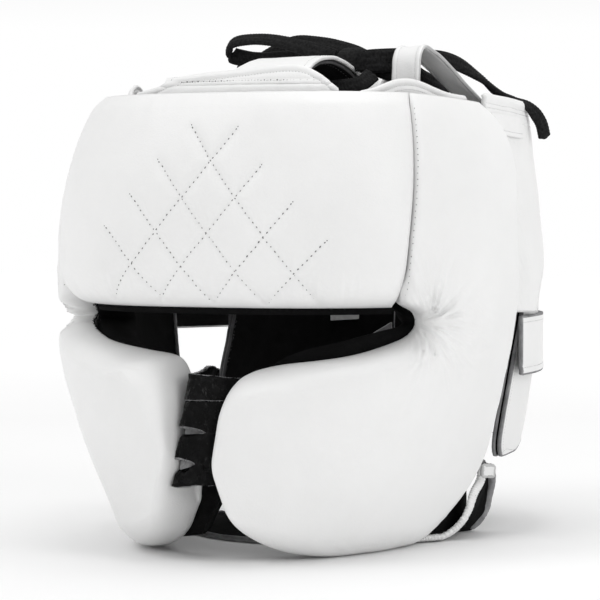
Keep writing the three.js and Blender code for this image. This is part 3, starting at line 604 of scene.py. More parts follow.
def centripetal(points, n):
    """The route curve that passes through the points, as the frame's tube does."""
    p = np.asarray(points, float)
    q = np.vstack([2 * p[0] - p[1], p, 2 * p[-1] - p[-2]])
    out = []
    for i in range(1, len(q) - 2):
        p0, p1, p2, p3 = q[i - 1:i + 3]
        d0, d1, d2 = (max(np.linalg.norm(b - a) ** 0.5, 1e-4) for a, b in ((p0, p1), (p1, p2), (p2, p3)))
        m1 = ((p1 - p0) / d0 - (p2 - p0) / (d0 + d1) + (p2 - p1) / d1) * d1
        m2 = ((p2 - p1) / d1 - (p3 - p1) / (d1 + d2) + (p3 - p2) / d2) * d1
        for k in range(n):
            t = k / n
            out.append((2 * t ** 3 - 3 * t ** 2 + 1) * p1 + (t ** 3 - 2 * t ** 2 + t) * m1 + (-2 * t ** 3 + 3 * t ** 2) * p2 + (t ** 3 - t ** 2) * m2)
    out.append(p[-1])
    return np.array(out)


def lace_mesh(name, route, face, width=LACE_W, thick=LACE_T, phase=0.0, tip=False):
    pts = centripetal(route, 24) + np.array([0, AXIS_Y, 0])
    line = resample(pts, 0.42)
    f = np.array([[np.interp(i, np.linspace(0, len(line) - 1, len(face)), np.asarray(face, float)[:, k]) for k in range(3)] for i in range(len(line))])
    tan = unit(np.gradient(line, axis=0))
    n = unit(f - tan * np.sum(f * tan, axis=1, keepdims=True))
    side = np.cross(tan, n)
    m = len(line)
    s = np.arange(m) * 0.42
    K = 36
    ang = np.linspace(0, 2 * math.pi, K, endpoint=False)
    cs, sn = np.cos(ang), np.sin(ang)
    u = np.sign(cs) * np.abs(cs) ** 0.8
    h = np.sign(sn) * np.abs(sn) ** 0.6
    wob = 1 + 0.05 * fbm(s * 0.06, s * 0 + phase, 4, 2)
    # herringbone of a tubular braid: columns of slanted strands on each face
    cols = 6.0
    across = u * cols / 2
    cell = np.abs(((across % 1.0) - 0.5) * 2)
    slant = np.where((np.floor(across) % 2) == 0, 1, -1)
    S, A = np.meshgrid(s, across, indexing="ij")
    frac = (A % 1.0)
    strand = 0.5 + 0.5 * np.cos(2 * math.pi * (S / 1.55 + phase + slant[None, :] * frac * 0.9))
    relief = 0.40 * strand * (1 - 0.8 * cell[None, :] ** 3) - 0.34 * cell[None, :] ** 4
    taper = np.ones(m)
    if tip:
        taper = np.clip((s[-1] - s) / 1.0, 0.25, 1)
    W = (width / 2 * wob * taper)[:, None] * u[None, :]
    H = (thick / 2 * taper)[:, None] * h[None, :] + relief * np.sign(h)[None, :] * np.abs(h)[None, :] ** 0.5
    cup = 0.10 * (W / (width / 2)) ** 2 * thick
    P = line[:, None, :] + side[:, None, :] * W[..., None] + n[:, None, :] * (H - cup)[..., None]
    verts = np.concatenate([P.reshape(-1, 3), line[:1], line[-1:]])
    i, j = np.meshgrid(np.arange(m - 1), np.arange(K), indexing="ij")
    j2 = (j + 1) % K
    quads = np.stack([i * K + j, (i + 1) * K + j, (i + 1) * K + j2, i * K + j2], -1).reshape(-1, 4)
    faces = [tuple(q) for q in quads]
    a, b = m * K, m * K + 1
    faces += [(a, k, (k + 1) % K) for k in range(K)]
    faces += [(b, (m - 1) * K + (k + 1) % K, (m - 1) * K + k) for k in range(K)]
    ob = mesh_object(name, verts, faces, [LACE])
    bpy.context.view_layer.update()
    return ob, pts


lace_objects = {}
for _i, (_name, _route) in enumerate(LACES.items()):
    ob, pts = lace_mesh(_name + "_braid", _route, LACE_FACE[_name], phase=0.37 * _i, tip=_name in ("lace_tail", "lace_end"))
    finish_piece(ob, _name)
    d = float(np.linalg.norm(np.diff(pts, axis=0), axis=1).sum())
    lace_objects[_name] = (ob, pts, d)


def knot_mesh():
    """The bow's knot: one lace laid twice round the strands."""
    c = np.array([28.5, -25.5 + AXIS_Y, 226.4])
    line = []
    for i in range(121):
        a = 2 * math.pi * i / 60 + 0.6
        line.append(c + np.array([-2.6 + 5.2 * i / 120, 0, 0]) + np.array([2.2 * math.sin(a), 5.2 * math.cos(a), 5.2 * math.sin(a)]))
    line = resample(np.array(line), 0.42)
    tan = unit(np.gradient(line, axis=0))
    mid = c + np.stack([line[:, 0] - c[0], np.zeros(len(line)), np.zeros(len(line))], -1)
    n = unit(line - mid)
    n = unit(n - tan * np.sum(n * tan, axis=1, keepdims=True))
    side = np.cross(tan, n)
    m, K = len(line), 24
    ang = np.linspace(0, 2 * math.pi, K, endpoint=False)
    u, h = np.cos(ang), np.sign(np.sin(ang)) * np.abs(np.sin(ang)) ** 0.6
    s = np.arange(m) * 0.42
    across = u * 3
    S, A = np.meshgrid(s, across, indexing="ij")
    slant = np.where((np.floor(across) % 2) == 0, 1, -1)
    relief = 0.34 * (0.5 + 0.5 * np.cos(2 * math.pi * (S / 1.55 + slant[None, :] * (A % 1) * 0.9)))
    P = line[:, None, :] + side[:, None, :] * (4.2 * u)[None, :, None] + n[:, None, :] * ((1.15 * h)[None, :] + relief * np.sign(h)[None, :])[..., None]
    verts = np.concatenate([P.reshape(-1, 3), line[:1], line[-1:]])
    i, j = np.meshgrid(np.arange(m - 1), np.arange(K), indexing="ij")
    j2 = (j + 1) % K
    faces = [tuple(q) for q in np.stack([i * K + j, (i + 1) * K + j, (i + 1) * K + j2, i * K + j2], -1).reshape(-1, 4)]
    faces += [(m * K, k, (k + 1) % K) for k in range(K)]
    faces += [(m * K + 1, (m - 1) * K + (k + 1) % K, (m - 1) * K + k) for k in range(K)]
    return mesh_object("lace_knot", verts, faces, [LACE])


knot = finish_piece(knot_mesh(), None)
for _name, (ob, pts, d) in lace_objects.items():
    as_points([tuple(p * 0.001) for p in pts[::4]] + [tuple(pts[-1] * 0.001)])

# ------------------------------------------------------------------ padded walls

TOP_Z = 206.0
SEAM_LOW, SEAM_HIGH = 40.6, 46.5
threads = Threads()          # white thread and needle holes on the outside
dark_threads = Threads()     # stitches on black leather and suede


def top_fade(psi, z):
    reach = mix(60, 34, ramp(np.abs(psi), 48, 86))
    s = np.clip((z - (TOP_Z + 1 - reach)) / reach, 0, 1)
    return np.maximum(1 - s ** 1.6, 0) ** (1 / 1.6)


def spread(m, ease=0.55):
    s = np.linspace(0, 1, m)
    return mix(s, 0.5 - 0.5 * np.cos(math.pi * s), ease)


class Pad:
    """A padded wall from a table of sections: psiA, zA, psiB, zB, hA, hB, rA, rB."""

    def __init__(self, rows, steps, m, face, base, fade=None, ends=None, shape=None, wall=0.5, sign=1, end_wall=0):
        s = catmull(rows, steps)
        t = spread(m)[None, :]
        pa, za, pb, zb, ha, hb, ra, rb = (s[:, k:k + 1] for k in range(8))
        self.psi, self.z = mix(pa, pb, t) * sign, mix(za, zb, t)
        length = np.hypot((pb - pa) * 2, zb - za)
        self.dA, self.dB = t * length, (1 - t) * length
        ra, rb = np.minimum(ra, length * 0.42), np.minimum(rb, length * 0.42)
        up = lambda d, r, h: h + (1 - h) * np.sqrt(1 - np.clip(1 - d / r, 0, 1) ** 2)
        h = up(self.dA, ra, ha) * up(self.dB, rb, hb)
        if end_wall:
            # extra columns up the end face, from the base to the height that the edge starts from
            k = np.linspace(0, 1, end_wall, endpoint=False)[None, :]
            h = np.concatenate([h[:, :1] * k, h], 1)
            self.psi, self.z, self.dA, self.dB = (np.concatenate([np.repeat(a[:, :1], end_wall, 1), a], 1)
                                                  for a in (self.psi, self.z, self.dA + 0 * t, self.dB + 0 * t))
        mid = np.stack([(s[:, 0] + s[:, 2]), (s[:, 1] + s[:, 3]) / 2], -1)
        run = np.r_[0, np.cumsum(np.hypot(*np.diff(mid, axis=0).T))]
        if ends:
            for at, r in zip((run, run[-1] - run), ends):
                if r:
                    q = np.clip(1 - at / r, 0, 1)
                    h = h * np.sqrt(1 - q * q)[:, None]
        if fade is not None:
            h = h * fade(self.psi, self.z)
        self.base, self.face = base(self.psi, self.z), face(self.psi, self.z)
        rise = (self.face - self.base) * h
        rise = np.sign(self.face - self.base) * np.maximum(np.abs(rise), wall)
        self.run = run
        if shape is not None:
            rise = rise + shape(self) * np.clip((np.abs(rise) - wall) / 5, 0, 1)
        self.r = self.base + rise
        self.P = place(self.psi, self.z, self.r)

    def mesh(self, name, materials, under=9):
        n, m = self.P.shape[:2]
        cols = np.unique(np.round(np.linspace(0, m - 1, under)).astype(int))
        B = place(self.psi[:, cols], self.z[:, cols], self.base[:, cols])
        k = len(cols)
        verts = np.concatenate([self.P.reshape(-1, 3), B[:, 1:-1].reshape(-1, 3)])
        inner = lambda i, j: i * m if j == 0 else (i * m + m - 1 if j == k - 1 else n * m + i * (k - 2) + j - 1)
        outward = np.sum(np.cross(self.P[1, m // 2] - self.P[0, m // 2], self.P[0, m // 2 + 1] - self.P[0, m // 2]) *
                         (place(self.psi, self.z, self.face)[0, m // 2] - place(self.psi, self.z, self.base)[0, m // 2])) > 0
        faces = [tuple(q) for q in grid_quads(n, m, 0, not outward)]
        for i in range(n - 1):
            for j in range(k - 1):
                q = (inner(i, j), inner(i + 1, j), inner(i + 1, j + 1), inner(i, j + 1))
                faces.append(q[::-1] if outward else q)
        for i, first in ((0, True), (n - 1, False)):
            for j in range(k - 1):
                q = [i * m + c for c in range(cols[j], cols[j + 1] + 1)]
                low = [inner(i, j + 1), inner(i, j)]
                poly = [v for v in q + low]
                poly = list(dict.fromkeys(poly))
                if len(poly) > 2:
                    faces.append(tuple(poly if first != outward else poly[::-1]))
        return mesh_object(name, verts, faces, materials)

    def at(self, psi, z, lift=0.0):
        """Surface point nearest to (psi, z)."""
        d = (self.psi - psi) ** 2 * 4 + (self.z - z) ** 2
        i, j = np.unravel_index(np.argmin(d), d.shape)
        return self.P[i, j] + self.N[i, j] * lift, self.N[i, j]

    def prepare(self):
        N = normals_of(self.P)
        out = place(self.psi, self.z, self.face) - place(self.psi, self.z, self.base)
        self.N = N * np.sign(np.sum(N * out, axis=-1, keepdims=True))
        return self

    def line(self, pairs, step=1.0):
        """Points and normals on the surface along (psi, z) pairs."""
        q = np.asarray(pairs, float)
        d = np.r_[0, np.cumsum(np.hypot(np.diff(q[:, 0]) * 2.2, np.diff(q[:, 1])))]
        s = np.linspace(0, d[-1], max(2, int(d[-1] / step)))
        pts, nor = zip(*[self.at(np.interp(v, d, q[:, 0]), np.interp(v, d, q[:, 1])) for v in s])
        pts, nor = np.array(pts), np.array(nor)
        k = np.array([0.25, 0.5, 0.25])
        for _ in range(2):
            pts[1:-1] = (pts[:-2] * k[0] + pts[1:-1] * k[1] + pts[2:] * k[2])
            nor[1:-1] = (nor[:-2] * k[0] + nor[1:-1] * k[1] + nor[2:] * k[2])
        return pts, unit(nor)


QUILT_PITCH = 2.75
# Quilting: the ends of each stitched line, psi and z.
QUILT = [
    # psi0, z0, psi1, z1
    (-3.5, 191.2, 24.5, 112.2), (-10.0, 176.1, 13.1, 113.6), (-15.3, 160.5, 2.5, 113.0), (-21.0, 146.2, -8.0, 113.6),
    (7.6, 190.0, -20.2, 113.2), (13.5, 173.5, -9.0, 113.2), (19.8, 156.8, 3.4, 112.8), (26.1, 140.3, 14.5, 112.0)]


def quilt_groove(psi, z):
    x = psi * 2.32
    out = np.zeros_like(x)
    for p0, z0, p1, z1 in QUILT:
        ax, az, bx, bz = p0 * 2.32, z0, p1 * 2.32, z1
        L = math.hypot(bx - ax, bz - az)
        tx, tz = (bx - ax) / L, (bz - az) / L
        s = (x - ax) * tx + (z - az) * tz
        d = np.abs((x - ax) * tz - (z - az) * tx)
        inside = ramp(s, -3, 5) * ramp(L - s, -6, 2)
        pucker = 0.10 * np.cos(2 * math.pi * s / QUILT_PITCH) * np.exp(-(d / 1.6) ** 2)
        g = (0.85 * np.exp(-(d / 3.0) ** 2) + 0.55 * np.exp(-(d / 0.95) ** 2) - pucker) * inside
        out = np.maximum(out, g)
    return out


def forehead_shape(pad):
    psi, z = pad.psi, pad.z
    seam = mix(SEAM_LOW, SEAM_HIGH, (z - 109) / 97)
    ds = (seam - np.abs(psi)) * 2.25
    out = -quilt_groove(psi, z)
    out -= 1.5 * np.exp(-(ds / 3.4) ** 2) + 1.9 * np.exp(-(ds / 0.9) ** 2)
    out += 0.5 * fbm(psi * 0.06, z * 0.03, 1, 2)
    # fine upright creases above the slot
    low = ramp(z, 140, 116)
    out += low * 0.40 * fbm(psi * 1.15, z * 0.05, 2, 2) * (0.35 + 0.65 * ramp(noise(psi * 0.11, z * 0.02, 5), 0.0, 0.5))
    # short puckers along the seam
    out += 0.22 * np.exp(-(ds / 6) ** 2) * fbm(z * 0.42, psi * 0.1, 6, 2)
    # pull lines in the upper edge
    out += 0.35 * ramp(z, 188, 203) * fbm(psi * 0.35, z * 0.05, 7, 2)
    return out


foreheadRows = [(f * SEAM_LOW, 110, f * SEAM_HIGH, TOP_Z, 0, 0, 20, 6) for f in np.linspace(-1.004, 1.004, 11)]
forehead = Pad(foreheadRows, 30, 176, outer_r, lambda p, z: mid_r(p, z) + 0.2, top_fade, shape=forehead_shape).prepare()
finish_piece(forehead.mesh("forehead_leather", [WHITE]), "forehead_pad")
for k, (p0, z0, p1, z1) in enumerate(QUILT):
    pts, nor = forehead.line([(p0, z0), (p1, z1)], 0.9)
    threads.run(pts, nor, pitch=QUILT_PITCH, length=QUILT_PITCH * 0.56, width=0.62, height=0.34, hole=0, kind=2, seed=k)
    threads.dot(pts[0], nor[0], 0.62)

SIDE = [
    # psiA, zA, psiB, zB, hA, hB, rA, rB
    (46.9, 206, 80, 203, 0.92, 0, 6, 12), (45.9, 190, 88.5, 191, 0.92, 0, 6, 12), (44.7, 170, 90.5, 172, 0.92, 0, 6, 12),
    (43.5, 150, 91.5, 150, 0.92, 0, 6, 12), (42.3, 130, 92, 128, 0.9, 0, 6, 12), (41.5, 114, 92, 108, 0.6, 0, 8, 12),
    (47.3, 107.5, 92, 90, 0, 0, 12, 12), (48.8, 102, 92, 74, 0, 0, 13, 12), (46, 97.4, 92.5, 58, 0, 0, 13, 12),
    (40, 95, 92.5, 44, 0, 0, 14, 12), (32, 91, 91, 31, 0, 0, 15, 13), (24, 88.5, 82, 15, 0, 0, 16, 14),
    (17, 86.5, 67, 2, 0.05, 0, 17, 16), (10.5, 83, 51, 0, 0.3, 0, 14, 17), (7.6, 76, 38, 0, 0.5, 0, 11, 17),
    (6.0, 66, 26, 0.6, 0.56, 0.05, 10, 16), (5.1, 55, 15.5, 4, 0.58, 0.1, 10, 15), (4.5, 46, 9, 12, 0.58, 0.2, 9, 11),
    (4.2, 40, 5.2, 24, 0.55, 0.3, 6, 6)]


SIDE_OF = {1: [tuple(r) for r in SIDE], -1: [tuple(r) for r in SIDE]}
for _i, _v in {6: (46.5, 107.5), 7: (47.3, 102.0), 8: (44.8, 97.0), 9: (40, 93.6), 10: (32, 89.4), 11: (24, 86.9), 12: (17, 84.9), 13: (10.5, 81.6),
               15: (5.5, 66), 16: (4.6, 55), 17: (4.0, 46), 18: (3.7, 40)}.items():
    SIDE_OF[1][_i] = _v + SIDE[_i][2:]
for _i, _v in {7: (50.5, 104), 8: (45.5, 101.3), 9: (39, 100), 10: (32, 97), 11: (24, 93), 12: (17, 90), 13: (10.5, 87.2), 14: (7.6, 80.5), 15: (6.0, 69)}.items():
    SIDE_OF[-1][_i] = _v + SIDE[_i][2:]
for _i, _h, _r in ((13, 0.34, 13), (14, 0.56, 10), (15, 0.70, 8), (16, 0.84, 7), (17, 0.86, 6.5), (18, 0.8, 6)):
    _q = list(SIDE_OF[-1][_i])
    _q[4], _q[6] = _h, _r
    _q[5] *= 0.2
    SIDE_OF[-1][_i] = tuple(_q)


def side_shape_for(sign):
    lay = 0 if sign > 0 else 5

    def shape(pad):
        a, z = np.abs(pad.psi), pad.z
        seam = mix(SEAM_LOW, SEAM_HIGH, (z - 109) / 97) + 0.4
        ds = (a - seam) * 2.25
        up = ramp(z, 107, 112)
        out = -up * (1.0 * np.exp(-(np.maximum(ds, 0) / 3.0) ** 2) + 1.9 * np.exp(-(ds / 0.9) ** 2))
        out += up * 0.22 * np.exp(-(ds / 6) ** 2) * fbm(z * 0.42 + 40, a * 0.1, 6, 2)
        # leather drawn together at the slot's end: streaks that run out from the corner
        dx, dz = (a - 47.5) * 2.1, z - 103.0
        rho, th = np.hypot(dx, dz), np.arctan2(dz, dx)
        near = ramp(a, 40.5, 44)
        streak = 1 - 2 * np.abs(noise(th * 4.6 + 7 * lay, rho * 0.035, 2 + lay))
        fine = 1 - 2 * np.abs(noise(th * 10 + 3, rho * 0.07, 3 + lay))
        amp = np.exp(-((rho - 9) / 11) ** 2) + 0.45 * np.exp(-((rho - 26) / 14) ** 2)
        out += near * amp * (1.25 * streak + 0.55 * fine)
        out -= near * 1.6 * np.exp(-(rho / 11) ** 2)
        # soft folds further out, level and slanting down behind the corner
        q = z - (102 - 0.30 * (a - 55))
        band = np.exp(-((a - 60) / 13) ** 2)
        out -= band * (1.1 * np.exp(-((q - 3) / 3.2) ** 2) + 1.3 * np.exp(-((q + 13 + 0.10 * (a - 55)) / 3.6) ** 2))
        out += band * np.exp(-(q / 20) ** 2) * 0.42 * fbm(a * 0.42, z * 0.55 + 0.28 * a, 4 + lay, 3)
        # broad unevenness of the stuffing
        out += 0.75 * fbm(a * 0.045 + 3 * lay, z * 0.028, 8, 2)
        # soft upright dent down the front of the cheek
        if sign > 0:
            line = 19 + 0.10 * (60 - z)
            out -= 0.8 * np.exp(-((a - line) / 2.6) ** 2) * ramp(z, 22, 40) * ramp(z, 82, 60)
        else:
            line = 34 - 0.19 * (z - 70)
            out -= 1.0 * np.exp(-((a - line) / 2.2) ** 2) * ramp(z, 4, 22) * ramp(z, 88, 70)
        # creases where the leather turns in at the top of the mouth gap
        t2 = np.hypot((a - 15) * 2.3, z - 84)
        th2 = np.arctan2(z - 84, (a - 15) * 2.3)
        out += (0.32 if sign < 0 else 0.12) * np.exp(-((t2 - 6) / 7) ** 2) * noise(th2 * 7, t2 * 0.05, 9)
        # puckers along the rear and lower seam
        out += 0.28 * np.exp(-((pad.dB - 5) / 5.5) ** 2) * fbm(pad.run[:, None] * 0.34 + 0 * pad.dB, pad.dB * 0.08, 10, 2)
        return out
    return shape


def mirrored(rows):
    return rows


sides = {}
for side, sign in (("left", 1), ("right", -1)):
    pad = Pad(SIDE_OF[sign], 15, 160, outer_r, lambda p, z: mid_r(p, z) + 0.2, top_fade, (0, 7),
              side_shape_for(sign), sign=sign, end_wall=14).prepare()
    sides[side] = pad
    ob = pad.mesh("side_leather_" + side, [WHITE, SHADED])
    if sign < 0:
        # the cheek's end face, turned to the mouth gap, gets the grey copy of the white leather: painted shade for the
        # shadow in the gap
        n, m = pad.P.shape[:2]
        for f in ob.data.polygons:
            if f.center.z < 0.037 and max(f.vertices) < n * m and max(v % m for v in f.vertices) <= 14:
                f.material_index = 1
    finish_piece(ob, "side_pad_" + side)
    # lockstitch down in the valley of the seam to the forehead
    seam = [(sign * (mix(SEAM_LOW, SEAM_HIGH, (z - 109) / 97) + 0.9), z) for z in np.linspace(111, 203, 30)]
    pts, nor = pad.line(seam, 1.0)
    threads.run(pts, nor, pitch=2.9, length=0, hole=0.34, lift=0.05, seed=20)

SIDE_LINING = [
    (42.2, 202, 86, 199, 0.6, 0.1, 6, 9), (42.2, 160, 90, 160, 0.9, 0.1, 6, 9), (42.2, 118, 91, 118, 0.9, 0.1, 6, 9),
    (44.5, 106.5, 91, 96, 0.1, 0.1, 8, 9), (46.5, 103, 91, 80, 0.1, 0.1, 8, 9), (44, 101, 91, 62, 0.1, 0.1, 8, 9),
    (38, 99, 90, 47, 0.1, 0.1, 8, 9), (30, 95.5, 86, 35, 0.1, 0.1, 8, 9), (21, 91, 74, 19, 0.1, 0.1, 8, 9),
    (14, 84, 58, 9, 0.1, 0.1, 8, 9), (9.5, 72, 40, 6, 0.1, 0.1, 8, 9), (7.2, 58, 24, 6, 0.1, 0.1, 8, 9), (5.6, 44, 13, 8, 0.1, 0.1, 6, 6), (4.6, 32, 7, 12, 0.1, 0.1, 5, 5)]


def lining_face(p, z):
    return np.minimum(inner_r(p, z), mid_r(p, z) - 6)


def lining_shape(pad):
    return 0.9 * fbm(pad.psi * 0.07, pad.z * 0.05, 11, 3)


for side, sign in (("left", 1), ("right", -1)):
    rows = SIDE_LINING if sign > 0 else [(a, b, c - 8 * float(ramp(d, 110, 60)) * float(ramp(c, 80, 88)), d, *e) for a, b, c, d, *e in SIDE_LINING[:-3]]
    if sign < 0:
        rows += [(4.6, 58, 24, 6, 0.1, 0.1, 8, 9), (0.4, 44, 13, 7, 0.1, 0.1, 6, 6), (-2.4, 32, 6, 9, 0.1, 0.1, 5, 5)]
    pad = Pad(rows, 9, 60, lining_face, mid_r, shape=lining_shape, sign=sign, wall=1.2)
    finish_piece(pad.mesh("side_suede_" + side, [BLACK]), "side_lining_" + side)
flRows = [(f * 41.6, 107, f * 41.6, 202, 0.1, 0.1, 9, 10) for f in np.linspace(-1, 1, 6)]
pad = Pad(flRows, 20, 56, lambda p, z: inner_r(p, z), mid_r, shape=lining_shape, wall=1.2)
finish_piece(pad.mesh("forehead_suede", [BLACK]), "forehead_lining")


def fuzz(name, points, direction, length, material, per_mm=2.2, width=0.42, seed=1, scatter=0.8):
    """Short suede hairs along a cut edge. direction gives the way they lean at each point."""
    rng = np.random.RandomState(seed)
    p = resample(points, 1 / per_mm)
    idx = np.linspace(0, len(points) - 1, len(p))
    d = np.array([[np.interp(i, np.arange(len(points)), np.asarray(direction)[:, k]) for k in range(3)] for i in idx])
    t = unit(np.gradient(p, axis=0))
    verts, faces = [], []
    for i in range(len(p)):
        L = length * (0.35 + 0.9 * rng.rand() ** 1.6)
        w = width * (0.6 + 0.7 * rng.rand())
        v = unit(d[i] + scatter * (rng.rand(3) - 0.5))
        b = unit(np.cross(v, t[i]))
        c = p[i] + t[i] * (rng.rand() - 0.5) / per_mm - d[i] * 0.3
        n0 = len(verts)
        verts += [c - t[i] * w, c + t[i] * w, c + b * w, c + v * L]
        faces += [(n0, n0 + 1, n0 + 3), (n0 + 1, n0 + 2, n0 + 3), (n0 + 2, n0, n0 + 3), (n0, n0 + 2, n0 + 1)]
    return mesh_object(name, np.array(verts), faces, [material], smooth=False)


def edge_frame(psi, z, r, dz, dr):
    """Points on a pad's inner edge with the way its hairs lean: dz up, dr outwards."""
    P = place(psi, z, r)
    out = place(psi, z, r + 1) - P
    return P, unit(out * dr + np.array([0, 0, 1.0]) * np.asarray(dz)[..., None])


for side, sign in (("left", 1), ("right", -1)):
    _s = catmull(SIDE_OF[sign], 12)
    e = _s[6 * 12 - 4:13 * 12]
    P, D = edge_frame(sign * e[:, 0], e[:, 1] + 0.4, mid_r(e[:, 0], e[:, 1]) + 1.0, np.full(len(e), 0.55), 0.75)
    finish_piece(fuzz("slot_nap_" + side, P, D, 1.5, BLACK, seed=3 + sign), None)
psi = np.linspace(-41, 41, 120)
P, D = edge_frame(psi, np.full(120, 108.9), mid_r(psi, 109) + 1.0, np.full(120, -0.6), 0.6)
finish_piece(fuzz("slot_nap_top", P, D, 0.9, BLACK, per_mm=1.2, seed=9), None)

# ------------------------------------------------------------------ thin leather


class Sheet:
    """A thin leather piece round a grid of middle points, rows along it and columns across."""

    def __init__(self, P, thick, away=None, **k):
        self.P, self.thick = P, thick
        N = normals_of(P)
        if away is not None and np.sum(N * (P - np.asarray(away, float))) < 0:
            N = -N
        self.N = N
        self.data = slab(P, thick, away, **k)

    def build(self, name, top, bottom=None, rim=None, slot="white_leather", nodes=None):
        v, f, kinds = self.data
        ob = mesh_object(name, v, f, [top, bottom or top, rim or top], kinds.astype(int))
        finish_piece(ob, nodes)
        return ob

    def edge_line(self, which, d, side=1):
        """Line at d millimetres in from an edge: A and B are the first and last column, 0 and 1 the first and last row."""
        P, N = (self.P, self.N) if which in "AB" else (self.P.swapaxes(0, 1), self.N.swapaxes(0, 1))
        if which in "B1":
            P, N = P[:, ::-1], N[:, ::-1]
        c = np.concatenate([np.zeros((len(P), 1)), np.cumsum(np.linalg.norm(np.diff(P, axis=1), axis=2), axis=1)], 1)
        out, nor = [], []
        for i in range(len(P)):
            out.append([np.interp(d, c[i], P[i, :, k]) for k in range(3)])
            nor.append([np.interp(d, c[i], N[i, :, k]) for k in range(3)])
        n = unit(np.array(nor)) * side
        return np.array(out) + n * self.thick / 2, n

    def area(self):
        a = self.P[1:, :-1] - self.P[:-1, :-1]
        b = self.P[:-1, 1:] - self.P[:-1, :-1]
        return float(np.linalg.norm(np.cross(a, b), axis=-1).sum())


def wall_sheet(rows, steps, across, face, thick, bumps=None, rise=0.0, sign=1, **k):
    s = catmull(rows, steps)
    t = np.linspace(0, 1, across)[None, :]
    psi = mix(s[:, 0:1], s[:, 2:3], t) * sign
    z = mix(s[:, 1:2], s[:, 3:4], t)
    r = face(psi, z) + rise - thick / 2
    if bumps is not None:
        r = r + bumps(psi, z, s, t)
    return Sheet(place(psi, z, r), thick, (0, AXIS_Y, float(z.mean())), **k)


def band(line, width, side, thick, n=14, m=11, away=None, shift=None, **k):
    """A strap: line is measured from the head axis, side gives the way its width lies."""
    p = catmull(line, n) + np.array([0, AXIS_Y, 0])
    d = unit(np.gradient(p, axis=0))
    w = np.array([side(q) for q in p], float) if callable(side) else np.broadcast_to(np.asarray(side, float), p.shape)
    w = unit(w - d * np.sum(w * d, axis=1, keepdims=True))
    up = np.cross(w, d)
    u = np.linspace(0, 1, len(p))
    wid = width(u) if callable(width) else np.full(len(p), float(width))
    t = np.linspace(-0.5, 0.5, m)
    P = p[:, None, :] + w[:, None, :] * (wid[:, None] * t[None, :])[..., None]
    if shift is not None:
        P = P + up[:, None, :] * shift(u[:, None], t[None, :])[..., None]
    return Sheet(P, thick, away, **k)


def rim_face(psi, z):
    return mix(inner_r(psi, z) + 6, inner_r(psi, z) + 3, ramp(z, 205, 222))


def by_height(rows):
    return [(p, za, p, zb) for p, za, zb in rows]


# ------------------------------------------------------------------ rim

def tab_bumps(psi, z, s, t):
    out = 0.35 * fbm(psi * 0.22, z * 0.12, 6, 3)
    out = out - 0.55 * np.exp(-((z - 209.2) / 0.55) ** 2) - 0.25 * np.exp(-((z - 211.4) / 0.9) ** 2)
    top = s[:, 3:4]
    out = out - 0.28 * np.exp(-((top - z - 2.4) / 0.8) ** 2) + 0.45 * np.exp(-((top - z - 0.6) / 1.2) ** 2)
    return out


FRONT_TAB = by_height([(-30, 203, 206.5), (-22, 203, 208), (-12, 203, 213), (5, 203, 215.6), (18, 203, 217.5), (24, 203, 214), (29, 203, 207)])
tab = wall_sheet(FRONT_TAB, 34, 40, rim_face, 2.0, tab_bumps)
tab.build("front_tab_leather", WHITE, WHITE, WHITE, nodes="front_tab")
pts, nor = tab.edge_line("B", 2.6)
threads.run(pts, nor, pitch=2.9, length=1.9, width=0.6, height=0.45, hole=0.36, seed=31)
line = np.array([(p, 211.4) for p in np.linspace(-14, 25, 70)])
pts = place(line[:, 0], line[:, 1], rim_face(line[:, 0], line[:, 1]))
nor = unit(pts - np.array([0, AXIS_Y, 0]) * np.array([1, 1, 0]) - np.stack([0 * pts[:, 0], 0 * pts[:, 0], pts[:, 2]], -1) + np.array([0, 0, 12.0]))
threads.run(pts, nor, pitch=3.0, length=2.0, width=0.6, height=0.45, hole=0.36, seed=32)


def hem_bumps(psi, z, s, t):
    top = s[:, 3:4]
    out = 0.3 * fbm(psi * 0.3, z * 0.15, 7, 3) + 0.4 * np.exp(-((top - z - 0.7) / 1.0) ** 2)
    return out - 0.3 * np.exp(-((top - z - 2.4) / 0.8) ** 2) - 0.3 * np.exp(-((top - z - 5.6) / 0.8) ** 2)


SIDE_HEM = by_height([(35.5, 203, 205.7), (39.5, 203, 207.4), (43.5, 203, 209.8), (47.5, 203, 211.6), (53, 203, 212), (58.5, 203, 210.5), (64, 202.5, 208.5), (72, 201.5, 206.6), (84, 201.5, 206)])
for side, sign in (("left", 1), ("right", -1)):
    hem = wall_sheet(SIDE_HEM, 30, 26, rim_face, 2.0, hem_bumps, sign=sign)
    hem.build("side_hem_leather_" + side, WHITE, WHITE, WHITE, nodes="side_hem_" + side)
    for d in (2.3, 4.6):
        pts, nor = hem.edge_line("B", d)
        threads.run(pts, nor, pitch=2.8, length=1.9, width=0.6, height=0.45, hole=0.36, seed=33)


def gusset_face(psi, z):
    return mix(mid_r(90, z) + 1.5, rear_r(psi, z) + 3.8, ramp(np.abs(psi), 92, 107))


def rear_hem_face(psi, z):
    return mix(mid_r(90, z) + 1.5, rear_r(psi, z) + 4 + 5.5 * ramp(np.abs(psi), 146, 160), ramp(np.abs(psi), 88, 107))


def rear_hem_bumps(psi, z, s, t):
    top = s[:, 3:4]
    out = 0.35 * fbm(psi * 0.25, z * 0.12, 8, 3) + 0.5 * np.exp(-((top - z - 0.8) / 1.1) ** 2)
    return out - 0.35 * np.exp(-((top - z - 3.4) / 0.9) ** 2) - 0.3 * np.exp(-((top - z - 5.6) / 0.9) ** 2)


